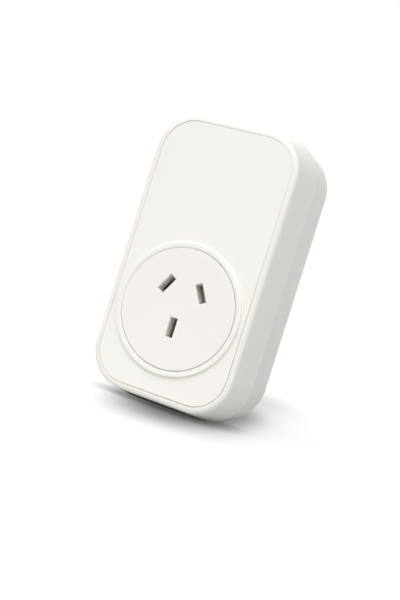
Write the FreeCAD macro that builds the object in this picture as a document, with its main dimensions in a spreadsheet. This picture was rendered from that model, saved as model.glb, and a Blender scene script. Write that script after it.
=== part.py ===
# Plug-in power controller: a wall-plug unit with one switched three-pin outlet on its front.
# The origin is the middle of the plug-pin pattern, on the flat rear face. +Y points into the
# wall, so the front looks along -Y. +Z is up and +X is right, seen from the front. Millimetres.
import FreeCAD, Part
import math
import os

import Sketcher
from FreeCAD import Placement, Rotation, Vector

# Driving sizes in millimetres and degrees. Depths run back from the panel face towards the wall,
# and offsets run outward from the groove that frames the front panel.
SIZES = {
    # Front panel, a rounded rectangle round the middle of the outlet pattern
    "panel_width": 51.3,
    "panel_above": 63.0,
    "panel_below": 34.5,
    "panel_corner": 12.3,
    "panel_thick": 1.2,
    "panel_round": 0.35,
    "groove_width": 0.25,
    "peg_radius": 1.1,
    "peg_head": 0.8,
    "peg_inset_side": 12.0,
    "peg_inset_end": 6.5,
    "peg_gap": 0.1,
    # Housing shells
    "body_depth": 34.0,
    "cover_depth": 14.7,
    "rim_offset": 1.95,
    "parting_offset": 4.55,
    "rear_offset": 3.05,
    "rim_round": 1.75,
    "rear_round": 3.0,
    "label_width": 34.0,
    "label_height": 22.0,
    "label_low": 24.0,
    "label_corner": 2.0,
    "label_depth": 0.3,
    "side_wall": 2.0,
    "front_wall": 1.8,
    "rear_wall": 2.5,
    "lip_height": 1.6,
    "lip_split": 1.0,
    "lip_gap": 0.1,
    # Raised ring and outlet disc, centred a little below the outlet pattern
    "disc_drop": 3.5,
    "disc_radius": 21.8,
    "disc_gap": 0.2,
    "disc_proud": 1.0,
    "disc_thick": 2.6,
    "disc_bevel": 0.3,
    "disc_wall": 1.8,
    "ring_width": 2.0,
    "ring_proud": 1.1,
    "ring_round": 0.4,
    "flange_reach": 1.6,
    "flange_thick": 1.2,
    # Outlet slots and plug pins of the three-pin pattern
    "live_radius": 7.92,
    "earth_radius": 10.31,
    "pole_tilt": 30.0,
    "slot_length": 7.0,
    "slot_width": 2.7,
    "pin_width": 6.35,
    "pin_thick": 1.63,
    "live_pin_length": 17.06,
    "earth_pin_length": 19.94,
    "pin_tip": 0.5,
    "sleeve_length": 8.5,
    "sleeve_wall": 0.35,
    "pin_gap": 0.05,
    "head_width": 8.6,
    "head_thick": 3.4,
    "head_height": 1.5,
    # Mechanism behind the outlet
    "core_drop": 2.0,
    "collar_wall": 1.0,
    "collar_height": 1.9,
    "block_margin": 7.08,
    "skirt_inset": 0.4,
    "skirt_wall": 1.7,
    "shutter_room": 3.9,
    "well_length": 7.2,
    "well_width": 5.4,
    "ear_out": 3.8,
    "ear_radius": 2.8,
    "ear_thick": 3.0,
    "carrier_margin": 0.5,
    "plug_base_depth": 5.5,
    "barrier_thick": 0.9,
    "barrier_gap": 0.2,
    "barrier_ear": 4.4,
    "post_gap": 0.15,
    "link_radius": 2.2,
    "link_room": 2.1,
    # Contacts, drawn in section across the slot
    "contact_sheet": 0.8,
    "leaf_thick": 0.6,
    "contact_width": 6.0,
    "contact_flange": 7.0,
    "leaf_root": 1.1,
    "leaf_pinch": 0.75,
    "leaf_mouth": 1.4,
    "mouth_inset": 0.8,
    "pinch_inset": 3.2,
    # Safety shutter and its two coil springs
    "shutter_travel": 6.0,
    "shutter_gap": 0.3,
    "shutter_plate": 1.0,
    "wing_width": 3.2,
    "wing_length": 9.0,
    "wing_edge": 0.6,
    "plate_clear": 0.7,
    "plate_top_half": 3.0,
    "plate_foot": 0.3,
    "plate_foot_half": 6.2,
    "plate_knee": 0.6,
    "plate_knee_half": 8.0,
    "guide_width": 2.0,
    "guide_low": 0.8,
    "guide_length": 2.0,
    "guide_height": 1.6,
    "spring_x": 4.5,
    "spring_radius": 1.3,
    "spring_wire": 0.35,
    "spring_turns": 5.0,
    "spring_seat_gap": 0.1,
    "ledge_thick": 1.0,
    "ledge_rise": 3.3,
    "foot_height": 1.5,
    "foot_width": 3.4,
    # Circuit board and the posts that carry it
    "board_lift": 4.5,
    "board_thick": 1.6,
    "board_inset": 1.65,
    "board_low": 18.0,
    "board_top_inset": 1.0,
    "board_boss_gap": 0.6,
    "board_post_radius": 2.6,
    "board_screw_side": 3.5,
    "board_screw_foot": 3.0,
    "board_screw_head": 2.5,
    "strap_thick": 0.8,
    "strap_width": 5.0,
    "strap_reach": 3.0,
    "output_strap_x": -13.8,
    "output_strap_width": 3.6,
    "output_strap_short": 0.6,
    "output_strap_low": 2.0,
    # Relay
    "relay_x": -6.5,
    "relay_gap": 1.0,
    "relay_width": 12.7,
    "relay_length": 29.0,
    "relay_height": 15.7,
    "relay_base_thick": 1.8,
    "relay_wall": 0.7,
    "coil_low": 3.0,
    "relay_ends": 15.0,
    "bobbin_radius": 2.6,
    "bobbin_seat": 0.7,
    "bobbin_front": 1.9,
    "winding_inset": 0.5,
    "bobbin_flange_thick": 0.8,
    "core_radius": 1.8,
    "core_head_radius": 3.0,
    "core_head_thick": 0.6,
    "yoke_thick": 1.2,
    "yoke_width": 9.0,
    "armature_gap": 0.7,
    "armature_rest": 0.2,
    "armature_thick": 1.0,
    "armature_reach": 10.0,
    "armature_width": 8.6,
    "leaf_strip_thick": 0.4,
    "leaf_strip_width": 6.0,
    "leaf_strip_height": 8.4,
    "contact_button_radius": 1.6,
    "contact_button_thick": 1.0,
    "contact_button_height": 6.9,
    "contact_open_gap": 0.7,
    "fixed_post_width": 5.0,
    "fixed_post_thick": 2.0,
    # Other parts on the board
    "part_gap": 1.4,
    "film_side": 4.5,
    "film_width": 7.0,
    "film_length": 13.5,
    "film_height": 12.0,
    "film_round": 0.8,
    "bulk_side": 2.4,
    "bulk_foot": 11.0,
    "bulk_radius": 5.0,
    "bulk_height": 16.0,
    "bulk_round": 0.8,
    "transformer_side": 2.1,
    "transformer_width": 13.0,
    "transformer_core_thick": 6.0,
    "transformer_length": 11.0,
    "transformer_height": 11.0,
    "transformer_seat": 1.2,
    "transformer_yoke": 1.8,
    "transformer_leg": 1.7,
    "transformer_middle": 3.6,
    "varistor_side": 5.4,
    "varistor_radius": 6.0,
    "varistor_thick": 4.0,
    "varistor_lift": 1.2,
    "lead_radius": 0.4,
    "lead_spacing": 5.0,
    "resistor_side": 3.6,
    "resistor_radius": 1.8,
    "resistor_length": 7.0,
    "resistor_lead": 1.0,
    "radio_gap": 2.5,
    "radio_width": 15.0,
    "radio_depth": 15.0,
    "radio_thick": 0.8,
    "can_width": 12.0,
    "can_depth": 10.0,
    "can_height": 2.0,
    "can_lift": 1.5,
    # Pairing button in the left side wall, and its switch
    "button_y": -12.0,
    "button_radius": 3.0,
    "button_gap": 0.15,
    "button_proud": 0.4,
    "button_flange": 0.7,
    "button_flange_thick": 0.8,
    "button_seat_gap": 0.15,
    "button_stem_radius": 1.2,
    "button_round": 0.5,
    "button_travel": 0.6,
    "switch_width": 6.0,
    "switch_depth": 5.5,
    "switch_height": 5.8,
    "switch_inset": 0.4,
    "switch_gap": 0.9,
    "plunger_radius": 1.4,
    "plunger_proud": 0.9,
    "plunger_sunk": 1.0,
    "plunger_gap": 0.08,
    # Screws
    "case_screw_inset": 4.62,
    "case_boss_radius": 3.4,
    "case_post_radius": 3.0,
    "case_screw_radius": 1.25,
    "case_screw_gap": 0.3,
    "case_head_radius": 2.6,
    "case_head_height": 1.6,
    "case_head_depth": 8.0,
    "case_head_gap": 0.3,
    "case_screw_bite": 7.5,
    "screw_radius": 1.1,
    "screw_head_radius": 2.2,
    "screw_head_height": 1.4,
    "screw_bite": 3.6,
    "screw_hole_gap": 0.3,
}

document = FreeCAD.newDocument("power_controller")
sheet = document.addObject("Spreadsheet::Sheet", "Sizes")


class Size:
    """A number now, together with the sheet expression that keeps it up to date."""

    def __init__(self, value, text):
        self.value = value
        self.text = text

    def __add__(self, other):
        return combined(self, "+", other)

    def __radd__(self, other):
        return combined(other, "+", self)

    def __sub__(self, other):
        return combined(self, "-", other)

    def __rsub__(self, other):
        return combined(other, "-", self)

    def __mul__(self, other):
        return combined(self, "*", other)

    def __rmul__(self, other):
        return combined(other, "*", self)

    def __truediv__(self, other):
        return combined(self, "/", other)

    def __neg__(self):
        return combined(0, "-", self)


def as_size(number):
    if isinstance(number, Size):
        return number
    return Size(float(number), f"{float(number):.6f}")


def combined(left, sign, right):
    left = as_size(left)
    right = as_size(right)
    results = {
        "+": left.value + right.value,
        "-": left.value - right.value,
        "*": left.value * right.value,
    }
    if sign == "/":
        results["/"] = left.value / right.value
    return Size(results[sign], f"({left.text} {sign} {right.text})")


def cosine(angle):
    return Size(math.cos(math.radians(angle.value)), f"cos({angle.text} * 1 deg)")


def sine(angle):
    return Size(math.sin(math.radians(angle.value)), f"sin({angle.text} * 1 deg)")


def draft_angle(growth, length):
    slope = growth / length
    return Size(math.degrees(math.atan(slope.value)), f"atan({slope.text})")


class SheetSizes:
    """Writes each driving size to its own cell and offers it under its name."""

    def __init__(self, numbers):
        for row, (name, number) in enumerate(numbers.items(), start=1):
            sheet.set(f"A{row}", name)
            sheet.set(f"B{row}", str(number))
            sheet.setAlias(f"B{row}", name)
            setattr(self, name, Size(float(number), f"Sizes.{name}"))


S = SheetSizes(SIZES)
document.recompute()

# Depth planes, from the front to the wall
PANEL_FACE = -S.body_depth
DISC_FACE = PANEL_FACE - S.disc_proud
RECESS_FLOOR = PANEL_FACE + S.panel_thick
COVER_INNER = RECESS_FLOOR + S.front_wall
DISC_INNER = DISC_FACE + S.disc_thick
COLLAR_REAR = DISC_INNER + S.collar_height
BLOCK_FRONT = COLLAR_REAR + S.shutter_room
PARTING = PANEL_FACE + S.cover_depth
FLOOR = -S.rear_wall
PLUG_BASE_FRONT = FLOOR - S.plug_base_depth
HEAD_FRONT = PLUG_BASE_FRONT - S.head_height
CONTACT_REAR = HEAD_FRONT - S.link_room
BLOCK_REAR = CONTACT_REAR - S.contact_sheet
BOARD_REAR = FLOOR - S.board_lift
BOARD_FRONT = BOARD_REAR - S.board_thick

# Radii round the outlet, and the board's outline inside the housing
HALF_WIDTH = S.panel_width / 2
RING_RADIUS = S.disc_radius + S.disc_gap + S.ring_width
BLOCK_RADIUS = S.live_radius + S.block_margin
CARRIER_RADIUS = BLOCK_RADIUS + S.carrier_margin
SKIRT_RADIUS = BLOCK_RADIUS - S.skirt_inset
SKIRT_INNER = SKIRT_RADIUS - S.skirt_wall
BOARD_HALF = HALF_WIDTH - S.board_inset
BOARD_TOP = S.panel_above - S.board_top_inset
STRAP_TOP = S.board_low + S.strap_reach

# The three poles: where each one stands in the pattern, and how far its slot leans to the right
LIVE_X = S.live_radius * cosine(S.pole_tilt)
LIVE_Z = S.live_radius * sine(S.pole_tilt)
POLES = {
    "active": (-LIVE_X, LIVE_Z, S.pole_tilt),
    "neutral": (LIVE_X, LIVE_Z, -S.pole_tilt),
    "earth": (as_size(0), -S.earth_radius, as_size(0)),
}

# Screw places
CASE_X = HALF_WIDTH - S.case_screw_inset
CASE_HIGH = S.panel_above - S.case_screw_inset
CASE_LOW = S.case_screw_inset - S.panel_below
CASE_SCREWS = [(-CASE_X, CASE_HIGH), (CASE_X, CASE_HIGH), (-CASE_X, CASE_LOW), (CASE_X, CASE_LOW)]
BOARD_SCREW_X = BOARD_HALF - S.board_screw_side
BOARD_SCREW_LOW = S.board_low + S.board_screw_foot
BOARD_SCREWS = [
    (-BOARD_SCREW_X, BOARD_SCREW_LOW),
    (BOARD_SCREW_X, BOARD_SCREW_LOW),
    (as_size(0), BOARD_TOP - S.board_screw_head),
]
EAR_REACH = BLOCK_RADIUS + S.ear_out
BLOCK_SCREWS = [(-EAR_REACH, -S.core_drop), (EAR_REACH, -S.core_drop)]
PEG_X = HALF_WIDTH - S.peg_inset_side
PEG_HIGH = S.panel_above - S.peg_inset_end
PEG_LOW = S.peg_inset_end - S.panel_below
PEGS = [(-PEG_X, PEG_HIGH), (PEG_X, PEG_HIGH), (-PEG_X, PEG_LOW), (PEG_X, PEG_LOW)]


# Sketches and features
def tie(thing, name, size):
    thing.setExpression(name, as_size(size).text)


def new_body(name):
    return document.addObject("PartDesign::Body", name)


def sketch_on(body, role, name, across=0, up=0, out=0, turn=0):
    """A sketch on an origin plane of its body, moved in the plane and off it, and turned."""
    plane = next(face for face in body.Origin.OriginFeatures if face.Role == role)
    sketch = body.newObject("Sketcher::SketchObject", name)
    sketch.AttachmentSupport = [(plane, "")]
    sketch.MapMode = "FlatFace"
    tie(sketch, "AttachmentOffset.Base.x", across)
    tie(sketch, "AttachmentOffset.Base.y", up)
    tie(sketch, "AttachmentOffset.Base.z", out)
    tie(sketch, "AttachmentOffset.Rotation.Angle", turn)
    return sketch


def front_sketch(body, name, depth, x=0, z=0, lean=0):
    """A sketch parallel to the wall: its own axes run along +X and +Z."""
    return sketch_on(body, "XZ_Plane", name, x, z, -depth, -lean)


def section_sketch(body, name):
    """A sketch in the level plane: its own axes run along +X and +Y."""
    return sketch_on(body, "XY_Plane", name)


def set_point(sketch, geometry, end, x, y):
    for kind, size in (("DistanceX", x), ("DistanceY", y)):
        size = as_size(size)
        number = sketch.addConstraint(Sketcher.Constraint(kind, -1, 1, geometry, end, size.value))
        name = f"{kind}_{geometry}_{end}"
        sketch.renameConstraint(number, name)
        tie(sketch, f"Constraints.{name}", size)


def draw_polygon(sketch, points):
    """A closed outline of straight lines through points given as sizes."""
    corners = [Vector(as_size(x).value, as_size(y).value, 0) for x, y in points]
    first = sketch.GeometryCount
    count = len(corners)
    for number, corner in enumerate(corners):
        sketch.addGeometry(Part.LineSegment(corner, corners[(number + 1) % count]), False)
    for number in range(count):
        following = first + (number + 1) % count
        sketch.addConstraint(Sketcher.Constraint("Coincident", first + number, 2, following, 1))
    for number, (x, y) in enumerate(points):
        set_point(sketch, first + number, 1, x, y)
    return sketch


def draw_rectangle(sketch, width, height, x=0, y=0):
    """A rectangle centred at x, y in the sketch."""
    half_width = width / 2
    half_height = height / 2
    left = x - half_width
    right = x + half_width
    low = y - half_height
    high = y + half_height
    return draw_polygon(sketch, [(left, low), (right, low), (right, high), (left, high)])


def draw_circle(sketch, radius, x=0, y=0):
    centre = Vector(as_size(x).value, as_size(y).value, 0)
    circle = sketch.addGeometry(Part.Circle(centre, Vector(0, 0, 1), radius.value), False)
    set_point(sketch, circle, 3, x, y)
    number = sketch.addConstraint(Sketcher.Constraint("Radius", circle, radius.value))
    sketch.renameConstraint(number, f"radius_{circle}")
    tie(sketch, f"Constraints.radius_{circle}", radius)
    return sketch


def draw_rounded(sketch, half_width, low, high, corner):
    """A rounded rectangle, symmetric about the sketch's upright axis."""
    wide = half_width.value
    bottom = low.value
    top = high.value
    bend = corner.value
    lines = [
        (Vector(bend - wide, bottom, 0), Vector(wide - bend, bottom, 0)),
        (Vector(wide, bottom + bend, 0), Vector(wide, top - bend, 0)),
        (Vector(wide - bend, top, 0), Vector(bend - wide, top, 0)),
        (Vector(-wide, top - bend, 0), Vector(-wide, bottom + bend, 0)),
    ]
    centres = [
        Vector(wide - bend, bottom + bend, 0),
        Vector(wide - bend, top - bend, 0),
        Vector(bend - wide, top - bend, 0),
        Vector(bend - wide, bottom + bend, 0),
    ]
    for start, end in lines:
        sketch.addGeometry(Part.LineSegment(start, end), False)
    for number, centre in enumerate(centres):
        circle = Part.Circle(centre, Vector(0, 0, 1), bend)
        start = (number - 1) * math.pi / 2
        sketch.addGeometry(Part.ArcOfCircle(circle, start, start + math.pi / 2), False)
    for number, direction in enumerate(("Horizontal", "Vertical", "Horizontal", "Vertical")):
        arc = 4 + number
        following = (number + 1) % 4
        sketch.addConstraint(Sketcher.Constraint(direction, number))
        sketch.addConstraint(Sketcher.Constraint("Tangent", number, 2, arc, 1))
        sketch.addConstraint(Sketcher.Constraint("Tangent", arc, 2, following, 1))
    for arc in (5, 6, 7):
        sketch.addConstraint(Sketcher.Constraint("Equal", 4, arc))
    sizes = [
        ("corner", Sketcher.Constraint("Radius", 4, bend), corner),
        ("low", Sketcher.Constraint("DistanceY", -1, 1, 0, 1, bottom), low),
        ("right", Sketcher.Constraint("DistanceX", -1, 1, 1, 1, wide), half_width),
        ("high", Sketcher.Constraint("DistanceY", -1, 1, 2, 1, top), high),
        ("left", Sketcher.Constraint("DistanceX", -1, 1, 3, 1, -wide), -half_width),
    ]
    for name, constraint, size in sizes:
        number = sketch.addConstraint(constraint)
        sketch.renameConstraint(number, name)
        tie(sketch, f"Constraints.{name}", size)
    return sketch


def outline(body, name, depth, offset):
    """The housing's rounded rectangle, a given offset outside the panel's groove."""
    sketch = front_sketch(body, name, depth)
    low = -(S.panel_below + offset)
    return draw_rounded(sketch, HALF_WIDTH + offset, low, S.panel_above + offset, S.panel_corner + offset)


def circles(body, name, depth, radius, centres):
    sketch = front_sketch(body, name, depth)
    for x, z in centres:
        draw_circle(sketch, radius, x, z)
    return sketch


def feature(body, kind, name, adds, **values):
    """A feature of a body, which must add or take away material as stated."""
    document.recompute()
    before = body.Shape.Volume if body.Tip and not body.Shape.isNull() else 0
    item = body.newObject(f"PartDesign::{kind}", name)
    for key, value in values.items():
        setattr(item, key, value)
    body.Tip = item
    return item, before, adds


def finish_feature(made):
    item, before, adds = made
    document.recompute()
    if item.Shape.isNull() or not item.Shape.isValid():
        raise ValueError(f"{item.Name} has no valid shape")
    change = item.Shape.Volume - before
    if (change > 0) != adds:
        raise ValueError(f"{item.Name} changed the volume by {change:.3f}")
    return item


def pad(body, name, sketch, length, to_wall=False, centred=False):
    made = feature(body, "Pad", name, True, Profile=sketch, Reversed=to_wall, Midplane=centred)
    tie(made[0], "Length", length)
    return finish_feature(made)


def pocket(body, name, sketch, depth, to_wall=True):
    made = feature(body, "Pocket", name, False, Profile=sketch, Reversed=not to_wall)
    tie(made[0], "Length", depth)
    return finish_feature(made)


def drafted(body, name, sketch, length, growth, adds=True):
    """A pad towards the wall, or a pocket towards the front, whose outline grows as it goes."""
    made = feature(body, "Pad" if adds else "Pocket", name, adds, Profile=sketch, Reversed=True)
    tie(made[0], "Length", length)
    tie(made[0], "TaperAngle", draft_angle(growth, length))
    return finish_feature(made)


def edges_between(shape, first, last):
    """Names of the edges that lie between two depths."""
    names = []
    for number, edge in enumerate(shape.Edges, start=1):
        box = edge.BoundBox
        if box.YMin > first.value - 0.01 and box.YMax < last.value + 0.01:
            names.append(f"Edge{number}")
    return names


def dress(body, kind, name, edges, size):
    """Rounds or bevels edges of the body as it stands."""
    base = body.Tip
    value_name = "Radius" if kind == "Fillet" else "Size"
    made = feature(body, kind, name, False, Base=(base, edges))
    tie(made[0], value_name, size)
    return finish_feature(made)


# Primitives and booleans
def place(thing, x=0, y=0, z=0, lean=0):
    """Moves a piece and leans it to the right, seen from the front."""
    thing.Placement = Placement(Vector(), Rotation(Vector(0, 1, 0), 1))
    tie(thing, "Placement.Rotation.Angle", lean)
    tie(thing, "Placement.Base.x", x)
    tie(thing, "Placement.Base.y", y)
    tie(thing, "Placement.Base.z", z)
    return thing


def slab(name, x, width, rear, depth, low, height):
    """A box centred at x, standing forward from a rear plane."""
    box = document.addObject("Part::Box", name)
    tie(box, "Length", width)
    tie(box, "Width", depth)
    tie(box, "Height", height)
    tie(box, "Placement.Base.x", x - as_size(width) / 2)
    tie(box, "Placement.Base.y", rear - depth)
    tie(box, "Placement.Base.z", low)
    return box


def rod(name, radius, length, x, y, z, axis="front"):
    """A cylinder that starts at a point and runs to the front, up or to the right."""
    turns = {"front": (Vector(1, 0, 0), 90), "up": (Vector(0, 0, 1), 0), "right": (Vector(0, 1, 0), 90)}
    cylinder = document.addObject("Part::Cylinder", name)
    cylinder.Placement = Placement(Vector(), Rotation(*turns[axis]))
    tie(cylinder, "Radius", radius)
    tie(cylinder, "Height", length)
    tie(cylinder, "Placement.Base.x", x)
    tie(cylinder, "Placement.Base.y", y)
    tie(cylinder, "Placement.Base.z", z)
    return cylinder


def fused(name, shapes):
    fuse = document.addObject("Part::MultiFuse", name)
    fuse.Shapes = shapes
    return fuse


def cut(name, base, tool):
    result = document.addObject("Part::Cut", name)
    result.Base = base
    result.Tool = tool
    return result


def group(name, shapes):
    compound = document.addObject("Part::Compound", name)
    compound.Links = shapes
    return compound


def rounded(name, base, depth_range, radius):
    """Rounds the edges of a primitive that lie in a range of depth."""
    document.recompute()
    item = document.addObject("Part::Fillet", name)
    item.Base = base
    names = edges_between(base.Shape, *depth_range)
    item.Edges = [(int(edge[4:]), radius.value, radius.value) for edge in names]
    return item


# Where the pairing button sits: above the film capacitor, against the inside of the side wall
FILM_LOW = BOARD_SCREW_LOW + S.screw_head_radius + S.part_gap
BUTTON_Z = FILM_LOW + S.film_length + S.switch_gap + S.switch_width / 2
BUTTON_FLANGE_RADIUS = S.button_radius + S.button_flange
BUTTON_EDGE_DEPTH = FLOOR - S.button_y - BUTTON_FLANGE_RADIUS
WALL_SLOPE = (S.parting_offset - S.rear_offset) / (FLOOR - PARTING + S.lip_height)
WALL_OFFSET = S.rear_offset - S.side_wall + WALL_SLOPE * BUTTON_EDGE_DEPTH
BUTTON_SEAT = HALF_WIDTH + WALL_OFFSET - S.button_seat_gap
SWITCH_FACE = BOARD_HALF - S.switch_inset


# Housing
def make_front_cover():
    body = new_body("front_cover")
    growth = S.parting_offset - S.rim_offset
    rim = outline(body, "rim_outline", PANEL_FACE, S.rim_offset)
    shell = drafted(body, "drafted_shell", rim, S.cover_depth, growth)
    dress(body, "Fillet", "rolled_rim", edges_between(shell.Shape, PANEL_FACE, PANEL_FACE), S.rim_round)
    opening = outline(body, "open_outline", PARTING, S.parting_offset - S.side_wall)
    hollow_depth = PARTING - COVER_INNER
    drafted(body, "hollow", opening, hollow_depth, -growth * hollow_depth / S.cover_depth, adds=False)
    rebate = outline(body, "rebate_outline", PARTING, S.parting_offset - S.lip_split)
    pocket(body, "lip_rebate", rebate, S.lip_height + S.lip_gap, to_wall=False)
    recess = outline(body, "recess_outline", PANEL_FACE, S.groove_width / 2)
    pocket(body, "panel_recess", recess, S.panel_thick)
    posts = circles(body, "post_circles", COVER_INNER, S.case_post_radius, CASE_SCREWS)
    pad(body, "screw_posts", posts, PARTING - COVER_INNER, to_wall=True)
    pilots = circles(body, "pilot_circles", PARTING, S.case_screw_radius, CASE_SCREWS)
    pocket(body, "pilot_holes", pilots, S.case_screw_bite + S.case_screw_gap, to_wall=False)
    centre = (as_size(0), -S.disc_drop)
    hole = circles(body, "outlet_circle", PANEL_FACE, S.disc_radius + S.disc_gap, [centre])
    pocket(body, "outlet_hole", hole, S.panel_thick + S.front_wall)
    pegs = circles(body, "peg_circles", RECESS_FLOOR, S.peg_radius + S.peg_gap, PEGS)
    pocket(body, "peg_holes", pegs, S.front_wall)
    return body


def make_fascia_panel():
    body = new_body("fascia_panel")
    centre = [(as_size(0), -S.disc_drop)]
    plate = outline(body, "plate_outline", RECESS_FLOOR, -S.groove_width / 2)
    pad(body, "plate", plate, S.panel_thick)
    edges = edges_between(body.Tip.Shape, PANEL_FACE, PANEL_FACE)
    dress(body, "Fillet", "plate_edge", edges, S.panel_round)
    pad(body, "ring", circles(body, "ring_circle", PANEL_FACE, RING_RADIUS, centre), S.ring_proud)
    ring_top = PANEL_FACE - S.ring_proud
    hole = circles(body, "hole_circle", ring_top, S.disc_radius + S.disc_gap, centre)
    pocket(body, "outlet_hole", hole, S.ring_proud + S.panel_thick)
    dress(body, "Fillet", "ring_edges", edges_between(body.Tip.Shape, ring_top, ring_top), S.ring_round)
    pegs = circles(body, "peg_circles", RECESS_FLOOR, S.peg_radius, PEGS)
    pad(body, "pegs", pegs, S.front_wall + S.peg_head, to_wall=True)
    return body


def make_rear_housing():
    body = new_body("rear_housing")
    growth = S.rear_offset - S.parting_offset
    parting = outline(body, "parting_outline", PARTING, S.parting_offset)
    shell = drafted(body, "drafted_shell", parting, -PARTING, growth)
    dress(body, "Fillet", "rear_edge", edges_between(shell.Shape, as_size(0), as_size(0)), S.rear_round)
    lip_offset = S.parting_offset - S.lip_split - S.lip_gap
    pad(body, "lip", outline(body, "lip_outline", PARTING, lip_offset), S.lip_height)
    floor = outline(body, "floor_outline", FLOOR, S.rear_offset - S.side_wall)
    drafted(body, "hollow", floor, FLOOR - PARTING + S.lip_height, -growth, adds=False)
    bosses = circles(body, "boss_circles", FLOOR, S.case_boss_radius, CASE_SCREWS)
    pad(body, "screw_bosses", bosses, FLOOR - PARTING)
    posts = circles(body, "board_post_circles", FLOOR, S.board_post_radius, BOARD_SCREWS)
    pad(body, "board_posts", posts, S.board_lift)
    posts = circles(body, "block_post_circles", FLOOR, S.ear_radius, BLOCK_SCREWS)
    pad(body, "block_posts", posts, FLOOR - BLOCK_REAR)
    holes = circles(body, "screw_circles", PARTING, S.case_screw_radius + S.case_screw_gap, CASE_SCREWS)
    pocket(body, "screw_holes", holes, -PARTING)
    sinks = circles(body, "sink_circles", as_size(0), S.case_head_radius + S.case_head_gap, CASE_SCREWS)
    pocket(body, "head_sinks", sinks, S.case_head_depth, to_wall=False)
    pilots = circles(body, "board_pilot_circles", BOARD_REAR, S.screw_radius, BOARD_SCREWS)
    pocket(body, "board_pilots", pilots, S.screw_bite)
    pilots = circles(body, "block_pilot_circles", BLOCK_REAR, S.screw_radius, BLOCK_SCREWS)
    pocket(body, "block_pilots", pilots, S.screw_bite)
    for pole, (x, z, lean) in POLES.items():
        sketch = front_sketch(body, f"{pole}_opening_sketch", FLOOR, x, z, lean)
        draw_rectangle(sketch, S.pin_thick + 2 * S.pin_gap, S.pin_width + 2 * S.pin_gap)
        pocket(body, f"{pole}_opening", sketch, S.rear_wall)
    label = front_sketch(body, "label_outline", as_size(0))
    draw_rounded(label, S.label_width / 2, S.label_low, S.label_low + S.label_height, S.label_corner)
    pocket(body, "label_recess", label, S.label_depth, to_wall=False)
    side = sketch_on(body, "YZ_Plane", "button_circle", S.button_y, BUTTON_Z, -BUTTON_SEAT)
    draw_circle(side, S.button_radius + S.button_gap)
    made = feature(body, "Pocket", "button_hole", False, Profile=side)
    tie(made[0], "Length", S.parting_offset)
    finish_feature(made)
    return body


# Outlet
def draw_pole(body, name, depth, pole, width, length):
    x, z, lean = POLES[pole]
    return draw_rectangle(front_sketch(body, name, depth, x, z, lean), width, length)


def make_socket_face():
    body = new_body("socket_face")
    disc_centre = [(as_size(0), -S.disc_drop)]
    core_centre = [(as_size(0), -S.core_drop)]
    flange_radius = S.disc_radius + S.flange_reach
    flange_rear = COVER_INNER + S.flange_thick
    disc = circles(body, "disc_circle", COVER_INNER, S.disc_radius, disc_centre)
    pad(body, "disc", disc, COVER_INNER - DISC_FACE)
    flange = circles(body, "flange_circle", COVER_INNER, flange_radius, disc_centre)
    pad(body, "flange", flange, S.flange_thick, to_wall=True)
    hollow = circles(body, "hollow_circle", flange_rear, S.disc_radius - S.disc_wall, disc_centre)
    pocket(body, "hollow", hollow, flange_rear - DISC_INNER, to_wall=False)
    skirt = circles(body, "skirt_circles", DISC_INNER, SKIRT_RADIUS, core_centre)
    draw_circle(skirt, SKIRT_INNER, 0, -S.core_drop)
    pad(body, "skirt", skirt, BLOCK_FRONT - DISC_INNER, to_wall=True)
    for pole in POLES:
        width = S.slot_width + 2 * S.collar_wall
        length = S.slot_length + 2 * S.collar_wall
        collar = draw_pole(body, f"{pole}_collar_sketch", DISC_INNER, pole, width, length)
        pad(body, f"{pole}_collar", collar, S.collar_height, to_wall=True)
    for pole in POLES:
        slot = draw_pole(body, f"{pole}_slot_sketch", DISC_FACE, pole, S.slot_width, S.slot_length)
        pocket(body, f"{pole}_slot", slot, COLLAR_REAR - DISC_FACE)
    edges = edges_between(body.Tip.Shape, DISC_FACE, DISC_FACE)
    dress(body, "Chamfer", "disc_and_slot_bevels", edges, S.disc_bevel)
    return body


LEDGE_TOP = S.ledge_rise - S.core_drop - SKIRT_INNER
SPRING_FOOT = LEDGE_TOP + S.spring_seat_gap
SPRING_LENGTH = -S.plate_foot - S.spring_seat_gap - SPRING_FOOT
SPRING_Y = BLOCK_FRONT - S.shutter_room / 2


def make_socket_block():
    body = new_body("socket_block")
    depth = BLOCK_REAR - BLOCK_FRONT
    core = circles(body, "core_circle", BLOCK_REAR, BLOCK_RADIUS, [(as_size(0), -S.core_drop)])
    pad(body, "core", core, depth)
    ears = front_sketch(body, "ear_bar", BLOCK_REAR, 0, -S.core_drop)
    draw_rectangle(ears, 2 * EAR_REACH, 2 * S.ear_radius)
    pad(body, "ears", ears, S.ear_thick)
    ends = circles(body, "ear_circles", BLOCK_REAR, S.ear_radius, BLOCK_SCREWS)
    pad(body, "ear_ends", ends, S.ear_thick)
    hole_radius = S.screw_radius + S.post_gap
    holes = circles(body, "ear_hole_circles", BLOCK_REAR - S.ear_thick, hole_radius, BLOCK_SCREWS)
    pocket(body, "ear_holes", holes, S.ear_thick)
    for pole in POLES:
        well = draw_pole(body, f"{pole}_well_sketch", BLOCK_FRONT, pole, S.well_width, S.well_length)
        pocket(body, f"{pole}_well", well, depth)
    for side, x in (("left", -S.spring_x), ("right", S.spring_x)):
        ledge = front_sketch(body, f"{side}_ledge_sketch", BLOCK_FRONT, x, LEDGE_TOP - S.ledge_thick / 2)
        draw_rectangle(ledge, S.foot_width, S.ledge_thick)
        pad(body, f"{side}_ledge", ledge, S.shutter_room - S.shutter_gap)
    guide = front_sketch(body, "guide_sketch", BLOCK_FRONT, 0, S.guide_low + S.guide_length / 2)
    draw_rectangle(guide, S.guide_width, S.guide_length)
    pad(body, "guide", guide, S.guide_height)
    return body


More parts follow.
